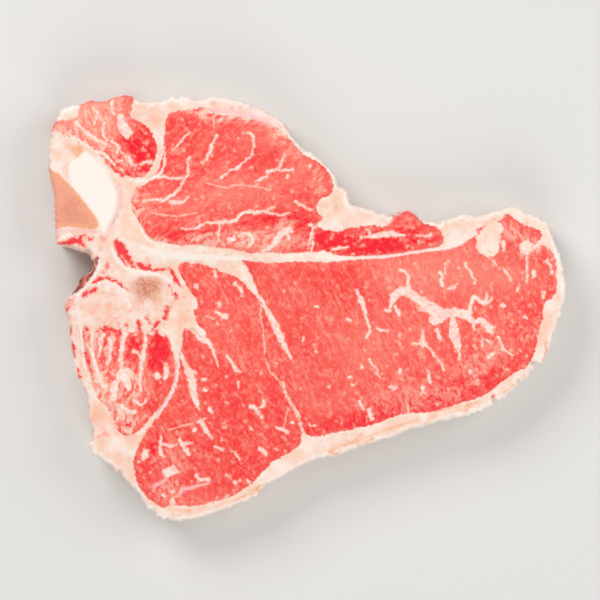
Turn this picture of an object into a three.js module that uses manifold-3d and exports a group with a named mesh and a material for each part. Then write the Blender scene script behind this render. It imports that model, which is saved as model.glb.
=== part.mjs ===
// A raw T-bone steak, cut straight across the short loin and lying flat on its lower cut face.
// Millimetres, +Z up. The origin is under the middle of the steak, on the surface it lies on.
// Every muscle, the T-shaped bone and the fat between and around them run through from face to face.
import * as THREE from "three";
import { mergeVertices } from "three/addons/utils/BufferGeometryUtils.js";
import Module from "manifold-3d";

const wasm = await Module();
wasm.setup();

// Driving dimensions
const STEAK_LENGTH = 206.5;
const THICKNESS = 22;
const SEAM = 0.3;
const BONE_STANDS_PROUD = 0.4;
const FAT_LIES_LOWER = 0.35;

// The outlines below are drawn on a steak of this length, and grow or shrink with STEAK_LENGTH.
const DRAWN_LENGTH = 206.5;
const GROW = STEAK_LENGTH / DRAWN_LENGTH;

// How finely an outline is followed, and how far a chord may stand off its curve
const OUTLINE_STEP = 0.8;
const CHORD_ERROR = 0.13;
const FACE_CELL = 7;
const ROOM_SHARE = 0.7;

// The shoulder where a cut face rolls over into the side: its radius and the slope it starts at, in degrees
const SHOULDER = 3.2;
const SHOULDER_SLOPE = 40;
const SHOULDER_STEPS = 3;
const SIDE_BULGE = 0.5;
const LIP = 0.2;

// The bevel along a muscle's edge, where the seam sinks a little between it and its neighbour
const SEAM_DEPTH = 0.7;
const SEAM_WIDTH = 1.1;
const OVERRUN = 2;

// The outer edge, clockwise from the notch in the backbone
const BACKBONE_EDGE = [
  [-85.4, 19], [-87.2, 22], [-91.5, 22.8], [-95, 24.9], [-99.2, 25.2], [-100.4, 30], [-100.7, 39],
  [-102, 50], [-103.2, 56], [-103, 64], [-102.4, 71], [-100, 75.3], [-98.2, 79.6],
];
const TENDERLOIN_EDGE = [
  [-92, 81.1], [-85.5, 82.9], [-81.5, 82.5], [-76, 84.7], [-71.5, 85.1], [-68.2, 84.2], [-66.8, 82.6],
  [-57.5, 83.1], [-54, 84.3], [-46.5, 84.2], [-43, 82.9], [-39.5, 84.1], [-34.5, 84.4], [-28, 82.9],
  [-21, 81], [-17, 78.4], [-13.5, 77.3], [-8.5, 73.4], [-6.5, 69.5], [-2, 64], [3.5, 61], [8.5, 56.4],
  [11.9, 51.5], [11.9, 48.8],
];
const TAIL_EDGE = [
  [14.6, 48.5], [16.3, 45.5], [17, 42.3], [23, 40.4], [33, 37.1], [36.2, 37.6], [38.6, 39.5], [42.5, 37.7],
  [46.5, 35], [55.5, 35.7], [60, 37.7], [64, 37.8], [67.5, 36.8], [73, 38.6], [81, 41.1], [85, 40.1],
  [87.5, 38.1], [95.6, 35], [97.5, 30], [99.6, 23.8], [101.8, 20], [102.6, 13.5], [103.3, 7.5],
  [101.5, -1.5], [98.3, -10.5], [95, -20],
];
const FAT_CAP_EDGE = [
  [92.2, -22.4], [89.5, -25.5], [85.5, -29.9], [77.2, -36.9], [74, -39.1], [66, -42.3], [50, -46.2],
  [42, -48], [33.5, -51.6], [21, -55.3], [10.2, -59.4], [5, -59.9], [-5, -64.2], [-8.2, -66.5], [-14, -69.4],
  [-17.8, -71.3], [-19.2, -74.3], [-33, -80.2], [-43, -83.7], [-54.8, -84.9],
];
const CHINE_EDGE = [
  [-59, -83.3], [-63.4, -79.9], [-67, -74.4], [-75, -65.7], [-80, -61.4], [-86.8, -57], [-87.3, -53.8],
  [-85.7, -49.2], [-87.3, -43], [-87.6, -36], [-91.6, -27.6], [-93.3, -25.6], [-93.3, -21.5], [-94.5, -13],
  [-95.5, -4.5], [-96.6, 0], [-96, 4.4], [-92.8, 6.9], [-91.2, 11.6], [-86.2, 14.8],
];
const STEAK = [...BACKBONE_EDGE, ...TENDERLOIN_EDGE, ...TAIL_EDGE, ...FAT_CAP_EDGE, ...CHINE_EDGE];

// The backbone with its two lobes, and the finger that runs out between the tenderloin and the loin
const BACKBONE_BODY = [
  [-104.5, 56], [-104.5, 68.5], [-101, 69.3], [-96, 67.2], [-89, 64.2], [-83.4, 60.6], [-79.3, 55.5],
  [-75.6, 48.4], [-74.2, 42.5], [-75.2, 37], [-78, 31.4], [-76.2, 28.6],
];
const FINGER = [
  [-71, 27.6], [-66, 26.6], [-57, 24.3], [-46, 23], [-38, 22.4], [-31, 21.4], [-27.4, 19.9], [-28.2, 17.2],
  [-34, 16.7], [-42, 18.8], [-50, 19.7], [-58, 18.6], [-66, 18.9], [-70.6, 19.6],
];
const BACKBONE_ARCH = [
  [-69.4, 16.6], [-62, 14.9], [-56.2, 13.6], [-54, 9.5], [-53.4, 4], [-55.3, -1], [-58, -6.6], [-66, -7.4],
  [-76, -7], [-86, -7.6], [-93, -7.2], [-98, -6.4], [-98.6, 3], [-94, 10], [-88, 16], [-87.4, 21],
  [-93, 21], [-102, 23.5], [-103.5, 40],
];
const T_BONE = [...BACKBONE_BODY, ...FINGER, ...BACKBONE_ARCH];

const TENDERLOIN = [
  [-54.6, 77.4], [-46, 78.9], [-41, 79.7], [-36, 77.2], [-27, 75.9], [-18, 74.5], [-11, 70.9], [-6.5, 66.6],
  [-1.5, 61.4], [4.5, 57.9], [8.9, 53.2], [10.3, 48.9], [9, 45.2], [4.6, 43], [3.4, 39.4], [6, 35.6],
  [2.8, 32.4], [1.4, 27.8], [0.6, 23.6], [-8, 22], [-16.5, 22.3], [-22, 21.8], [-27, 23.2], [-33, 23.9],
  [-41, 25.1], [-50, 25.2], [-58, 26.5], [-63.4, 28.6], [-65.4, 31.6], [-67.8, 36.2], [-69.9, 40.5],
  [-69, 46.4], [-65.4, 49.8], [-60.2, 53.6], [-57.6, 60.5], [-56.7, 69], [-56, 75.3],
];

const LOIN_EYE = [
  [-25.6, 19.2], [-16, 18.1], [-4, 18.6], [6, 18.4], [16, 19], [28, 19.7], [40, 21.3], [50, 22.7],
  [58.5, 24.3], [64, 27.3], [70, 32.4], [76.5, 35.2], [79.3, 37.6], [82.6, 35], [87, 32.7], [92.4, 30.9],
  [93, 28.4], [91.4, 25.7], [95, 24.2], [98.2, 20.4], [98.6, 13.5], [98.8, 7.5], [96.8, 3.9],
  [93.9, 1.5], [93.5, -4], [91.3, -10.5], [90.2, -17], [87.6, -22.5], [81.5, -25.8], [74.6, -31],
  [70.5, -34.2], [58, -38.4], [50, -40.8], [41, -41.5], [34, -42.9], [28, -45.5], [15, -48.3], [1, -50.7],
  [-1.2, -48.6], [-3.6, -42.5], [-7.6, -35.4], [-10.2, -29.5], [-14.6, -23.4], [-16.6, -16],
  [-17.3, -6], [-17.9, 0.5], [-20.2, 8.5], [-22.6, 14],
];

const LOIN_CAP = [
  [-51.4, 16.6], [-49, 18.2], [-42, 17.3], [-34, 14.6], [-28, 12.6], [-24, 8.6], [-20.6, 4.6], [-18.8, 0],
  [-18.2, -7], [-17.4, -17], [-15.4, -24], [-11, -30.2], [-8.4, -36], [-4.6, -42.8], [-2.3, -49],
  [-3, -53.6], [-8, -57.6], [-14, -60.8], [-17.8, -64.9], [-22.6, -69.7], [-28.5, -73.7], [-38, -77],
  [-46, -78.4], [-52, -78.3], [-58.2, -78.7], [-62.8, -75.4], [-66.8, -70.8], [-68.3, -66], [-69, -60.5],
  [-67.4, -54.7], [-64.2, -49.2], [-59.6, -42.6], [-55, -36], [-52.2, -28.5], [-51.3, -20], [-49.6, -13.5],
  [-48.8, -8], [-45.4, -8.1], [-41.6, -11.4], [-40.4, -9.2], [-43.6, -5.8], [-44.9, -1.4], [-43.6, 1.6],
  [-46.4, 6.8],
];

const CHINE_MUSCLE = [
  [-90.4, -9.2], [-84, -8.9], [-76, -8.3], [-66, -8.7], [-58.6, -8.7], [-55, -11.6], [-53.6, -17],
  [-52.9, -24], [-54.4, -31.6], [-58.4, -38.6], [-63.4, -44.2], [-66.6, -48.4], [-72.4, -50.2],
  [-76, -47.6], [-78.4, -40.6], [-83, -35.4], [-87, -28.6], [-88.6, -19],
];

const SKIRT_MUSCLE = [
  [-90.6, 84], [-80, 86], [-69.4, 87], [-69.2, 82], [-69.9, 76.4], [-65.2, 73.2], [-60.7, 67.8],
  [-60.1, 61.4], [-62, 55.8], [-66, 51.9], [-72, 52.8], [-77, 54.9], [-80.3, 59.4], [-84.6, 62.9],
  [-91, 66.7], [-97.6, 69.6], [-104.5, 71.2], [-104, 73.5], [-98, 74.4], [-91.6, 76], [-90.6, 79],
];

const CHAIN_MUSCLE = [
  [3.2, 29.8], [6, 31.2], [12, 30.5], [19, 32.2], [25, 33], [30.4, 32.5], [33, 34.4], [34.6, 38.5],
  [38.6, 41.5], [43.5, 39.5], [45.6, 34.2], [50.6, 32.5], [53.6, 29.4], [53.9, 26], [49, 24.3],
  [38, 22.4], [28, 21.3], [14, 20.9], [9.5, 22], [4, 24.2], [2.9, 27],
];

// Cuts made across the fat cap so that the steak lies flat: where each opens, how it runs, how deep it goes
// and how wide it gapes
const SCORE_CUTS = [
  { mouth: [92.4, -24.4], angle: 133, depth: 4.2, gape: 2.4 },
  { mouth: [85.2, -31.2], angle: 121, depth: 3.4, gape: 0.9 },
  { mouth: [76, -39], angle: 128, depth: 3.8, gape: 2.2 },
];

// How far the upper cut face stands above or below an even slice, at one place
function swell(x, y) {
  const ripple = 0.55 * Math.sin((x + 12) / 27) * Math.cos((y - 18) / 24);
  const dimple = 0.35 * Math.sin(x / 14 + y / 19);
  const thinTail = 1.5 * THREE.MathUtils.smoothstep(x, 25, 110);
  const thinEdge = 0.7 * THREE.MathUtils.smoothstep(-y, 40, 95);
  return ripple + dimple - thinTail - thinEdge;
}

// A closed curve through the points, as a line of close points that runs anticlockwise, with the corner points,
// the direction inwards at each point and the room there
function outline(points) {
  const corners = points.map(([x, y]) => new THREE.Vector3(x * GROW, y * GROW, 0));
  const curve = new THREE.CatmullRomCurve3(corners, true, "centripetal");
  const count = Math.ceil(curve.getLength() / OUTLINE_STEP);
  const line = curve.getSpacedPoints(count).slice(0, -1).map((p) => new THREE.Vector2(p.x, p.y));
  if (THREE.ShapeUtils.isClockWise(line)) {
    line.reverse();
  }
  const inwards = line.map((p, i) => {
    const chord = line[(i + 1) % line.length].clone().sub(line.at(i - 1)).normalize();
    return new THREE.Vector2(-chord.y, chord.x);
  });
  return { line, keep: telling(line), inwards, room: line.map((p, i) => roomInside(p, inwards[i], line)) };
}

// The radius of the largest circle that touches the line at one point and stays inside it
function roomInside(at, inward, line) {
  return line.reduce((least, other) => {
    const reach = other.clone().sub(at);
    const depth = reach.dot(inward);
    return depth > 1e-6 ? Math.min(least, reach.lengthSq() / (2 * depth)) : least;
  }, Infinity);
}

// The points of a closed line that its chords would otherwise miss by more than CHORD_ERROR
function telling(line) {
  const keep = new Set();
  const between = (from, to) => {
    let worst = 0;
    let at = -1;
    for (let i = from + 1; i < to; i++) {
      const d = distanceToChord(line[i], line[from], line[to % line.length]);
      if (d > worst) {
        worst = d;
        at = i;
      }
    }
    if (worst > CHORD_ERROR) {
      between(from, at);
      keep.add(at);
      between(at, to);
    }
  };
  const half = Math.floor(line.length / 2);
  keep.add(0).add(half);
  between(0, half);
  between(half, line.length);
  return keep;
}

function distanceToChord(p, a, b) {
  const chord = b.clone().sub(a);
  const share = THREE.MathUtils.clamp(p.clone().sub(a).dot(chord) / Math.max(chord.lengthSq(), 1e-9), 0, 1);
  return a.clone().addScaledVector(chord, share).distanceTo(p);
}

// The outline as a polygon drawn in by a distance, less where there's no room, or let out by a negative one
function ring({ line, keep, inwards, room }, distance) {
  const moved = line.map((p, i) => {
    const nearby = Math.min(...[-2, -1, 0, 1, 2].map((k) => room.at((i + k) % room.length)));
    return p.clone().addScaledVector(inwards[i], Math.min(distance, ROOM_SHARE * nearby));
  });
  return moved.filter((_, i) => keep.has(i));
}

// A closed body between polygons stacked one above the next, each { polygon, height(x, y) }
function stack(layers) {
  const n = layers[0].polygon.length;
  const vertices = layers.flatMap(({ polygon, height }) =>
    polygon.flatMap((p) => [p.x, p.y, height(p.x, p.y)]));
  const faces = [];
  for (let k = 0; k + 1 < layers.length; k++) {
    for (let i = 0; i < n; i++) {
      const [a, b] = [k * n + i, k * n + ((i + 1) % n)];
      faces.push(a, b, b + n, a, b + n, a + n);
    }
  }
  const last = (layers.length - 1) * n;
  for (const [a, b, c] of THREE.ShapeUtils.triangulateShape(layers[0].polygon, [])) {
    faces.push(a, c, b);
  }
  for (const [a, b, c] of THREE.ShapeUtils.triangulateShape(layers.at(-1).polygon, [])) {
    faces.push(last + a, last + b, last + c);
  }
  return solid(new THREE.BufferGeometry()
    .setAttribute("position", new THREE.Float32BufferAttribute(vertices, 3))
    .setIndex(faces));
}

function solid(geometry) {
  geometry.deleteAttribute("normal");
  geometry.deleteAttribute("uv");
  const merged = mergeVertices(geometry, 1e-4);
  return new wasm.Manifold(new wasm.Mesh({
    numProp: 3,
    vertProperties: new Float32Array(merged.attributes.position.array),
    triVerts: new Uint32Array(merged.index.array),
  }));
}

// The whole slice as a block with a flat underside and a face that swells, moved up or down by a little
function slice(raised, follows = 1) {
  const [length, width] = [STEAK_LENGTH * 1.1, STEAK_LENGTH * 0.95];
  const block = new THREE.BoxGeometry(
    length, width, THICKNESS, Math.round(length / FACE_CELL), Math.round(width / FACE_CELL), 1);
  block.translate(0, 0, THICKNESS / 2);
  const at = block.attributes.position;
  for (let i = 0; i < at.count; i++) {
    if (at.getZ(i) > 0) {
      at.setZ(i, THICKNESS + raised + follows * swell(at.getX(i), at.getY(i)));
    }
  }
  return solid(block);
}

const face = (x, y) => THICKNESS + swell(x, y);

// The steak's whole side, which rolls over into both faces and bulges a little between them
function side(edge) {
  const rolls = [];
  for (let step = 0; step <= SHOULDER_STEPS; step++) {
    const degrees = THREE.MathUtils.mapLinear(step, 0, SHOULDER_STEPS, SHOULDER_SLOPE, 90);
    const slope = THREE.MathUtils.degToRad(degrees);
    const start = Math.cos(THREE.MathUtils.degToRad(SHOULDER_SLOPE));
    rolls.push({
      polygon: ring(edge, SIDE_BULGE + SHOULDER * (1 - Math.sin(slope))),
      depth: SHOULDER * (start - Math.cos(slope)) - LIP,
    });
  }
  const lower = rolls.map(({ polygon, depth }) => ({ polygon, height: () => depth }));
  const upper = rolls.map(({ polygon, depth }) => ({ polygon, height: (x, y) => face(x, y) - depth }));
  return stack([...lower, { polygon: ring(edge, 0), height: (x, y) => face(x, y) / 2 }, ...upper.reverse()]);
}

// What one muscle or bone fills, from below the lower face to above the upper one
function core(edge, bevelled) {
  const within = ring(edge, SEAM / 2);
  const layers = [{ polygon: within, height: () => -OVERRUN }];
  if (bevelled) {
    const drawn = SEAM_WIDTH * (1 + SEAM / SEAM_DEPTH);
    layers.push({ polygon: within, height: (x, y) => face(x, y) - SEAM_DEPTH });
    layers.push({ polygon: ring(edge, SEAM / 2 + drawn), height: (x, y) => face(x, y) + SEAM });
  } else {
    layers.push({ polygon: within, height: (x, y) => face(x, y) + OVERRUN });
  }
  return stack(layers);
}

// The room that a muscle or bone takes out of the fat
function pocket(edge) {
  const around = ring(edge, -SEAM / 2);
  return stack([
    { polygon: around, height: () => -OVERRUN },
    { polygon: around, height: (x, y) => face(x, y) + OVERRUN },
  ]);
}

// A wedge that opens at the mouth and runs inwards along the angle, through the whole thickness
function scoreCut({ mouth, angle, depth, gape }) {
  const along = new THREE.Vector2(1, 0).rotateAround(new THREE.Vector2(), THREE.MathUtils.degToRad(angle));
  const across = new THREE.Vector2(-along.y, along.x);
  const start = new THREE.Vector2(...mouth).multiplyScalar(GROW);
  const corner = (inwards, sideways) =>
    start.clone().addScaledVector(along, inwards).addScaledVector(across, sideways);
  const wedge = [corner(-1, gape / 2), corner(-1, -gape / 2), corner(depth, -0.15), corner(depth, 0.15)];
  const polygon = THREE.ShapeUtils.isClockWise(wedge) ? wedge.reverse() : wedge;
  return stack([
    { polygon, height: () => -OVERRUN },
    { polygon, height: () => THICKNESS + OVERRUN },
  ]);
}

// The separate pieces of a solid, the largest first: a cut may leave crumbs beside them
function pieces(made) {
  return made.decompose().sort((a, b) => b.volume() - a.volume());
}

const LOOKS = {
  meat: { color: 0xf2504c, roughness: 0.42, metalness: 0 },
  darkMeat: { color: 0xd9343a, roughness: 0.42, metalness: 0 },
  fat: { color: 0xfbe3cf, roughness: 0.5, metalness: 0 },
  bone: { color: 0xf8e4d4, roughness: 0.45, metalness: 0 },
};

const steak = new THREE.Group();

function add(name, made, look) {
  const { numVert, numProp, vertProperties, triVerts } = made.getMesh();
  const at = new Float32Array(numVert * 3);
  for (let i = 0; i < numVert; i++) {
    at.set(vertProperties.subarray(i * numProp, i * numProp + 3), i * 3);
  }
  const geometry = new THREE.BufferGeometry()
    .setAttribute("position", new THREE.BufferAttribute(at, 3))
    .setIndex(new THREE.BufferAttribute(triVerts, 1));
  geometry.computeVertexNormals();
  const mesh = new THREE.Mesh(geometry, new THREE.MeshStandardMaterial(LOOKS[look]));
  mesh.name = name;
  steak.add(mesh);
}

const MUSCLES = {
  tenderloin: { points: TENDERLOIN, look: "meat" },
  loin_eye: { points: LOIN_EYE, look: "meat" },
  loin_cap: { points: LOIN_CAP, look: "meat" },
  chine_muscle: { points: CHINE_MUSCLE, look: "meat" },
  skirt_muscle: { points: SKIRT_MUSCLE, look: "darkMeat" },
  chain_muscle: { points: CHAIN_MUSCLE, look: "darkMeat" },
};

const outer = SCORE_CUTS.reduce((made, cut) => made.subtract(scoreCut(cut)), side(outline(STEAK)));
const meatSlice = slice(0).intersect(outer);
const boneEdge = outline(T_BONE);

let fat = slice(-FAT_LIES_LOWER).intersect(outer).subtract(pocket(boneEdge));
for (const [name, { points, look }] of Object.entries(MUSCLES)) {
  const edge = outline(points);
  add(name, pieces(meatSlice.intersect(core(edge, true)))[0], look);
  fat = fat.subtract(pocket(edge));
}
const bone = slice(BONE_STANDS_PROUD, 0.5).intersect(outer).intersect(core(boneEdge, false));
add("t_bone", pieces(bone)[0], "bone");

// The skirt muscle reaches the outer edge, so it parts a patch of fat at the corner from the rest
const [body, patch] = pieces(fat);
add("fat", body, "fat");
add("fat_patch", patch, "fat");

export default steak;
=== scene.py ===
"""Dresses a raw T-bone steak: muscles, T-shaped bone and fat, each from its own solid in the frame.

Lengths in the tables are millimetres in the steak's own frame, and everything built is in metres.
"""

import math

import bmesh
import bpy
import numpy as np
from bpy.props import FloatProperty, FloatVectorProperty, IntProperty, PointerProperty
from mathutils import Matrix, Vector, kdtree, noise


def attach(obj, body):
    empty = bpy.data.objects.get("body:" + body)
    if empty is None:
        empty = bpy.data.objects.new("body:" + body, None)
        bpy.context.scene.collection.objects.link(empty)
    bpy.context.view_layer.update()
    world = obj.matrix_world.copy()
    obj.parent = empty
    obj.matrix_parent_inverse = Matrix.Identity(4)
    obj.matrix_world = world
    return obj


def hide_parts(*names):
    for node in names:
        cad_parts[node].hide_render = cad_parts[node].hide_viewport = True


bl_info = {
    "name": "Raw T-bone steak",
    "version": (1, 0, 0),
    "blender": (4, 5, 0),
    "location": "3D View > Sidebar > Steak",
    "description": "Muscles, bone and fat of a raw T-bone steak, with marbling, marrow and a moist cut face",
    "category": "Add Mesh",
}

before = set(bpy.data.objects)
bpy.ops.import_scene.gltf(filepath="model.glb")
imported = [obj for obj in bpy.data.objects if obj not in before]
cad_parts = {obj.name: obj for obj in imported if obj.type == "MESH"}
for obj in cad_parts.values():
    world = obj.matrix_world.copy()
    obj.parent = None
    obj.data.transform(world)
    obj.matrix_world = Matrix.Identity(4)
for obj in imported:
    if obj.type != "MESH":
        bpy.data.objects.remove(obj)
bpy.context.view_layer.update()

MM = 0.001
MUSCLES = ("tenderloin", "loin_eye", "loin_cap", "chine_muscle", "skirt_muscle", "chain_muscle")
BONE = "t_bone"
FAT = ("fat", "fat_patch")
# Numbers of the owners of triangles: the muscles in their order, then the bone and the two pieces of fat
BONE_OWNER = len(MUSCLES)
FAT_OWNER = BONE_OWNER + 1
# The level, half way up the solids, at which their outlines are taken
MID_HEIGHT = 11.0
# How many points are measured against an outline at a time
CHUNK = 8000
# The value given to points that are too far outside an outline to be measured
FAR_OUTSIDE = -99.0
# Rows of faces down the side of the steak
ROWS = 14

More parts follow.
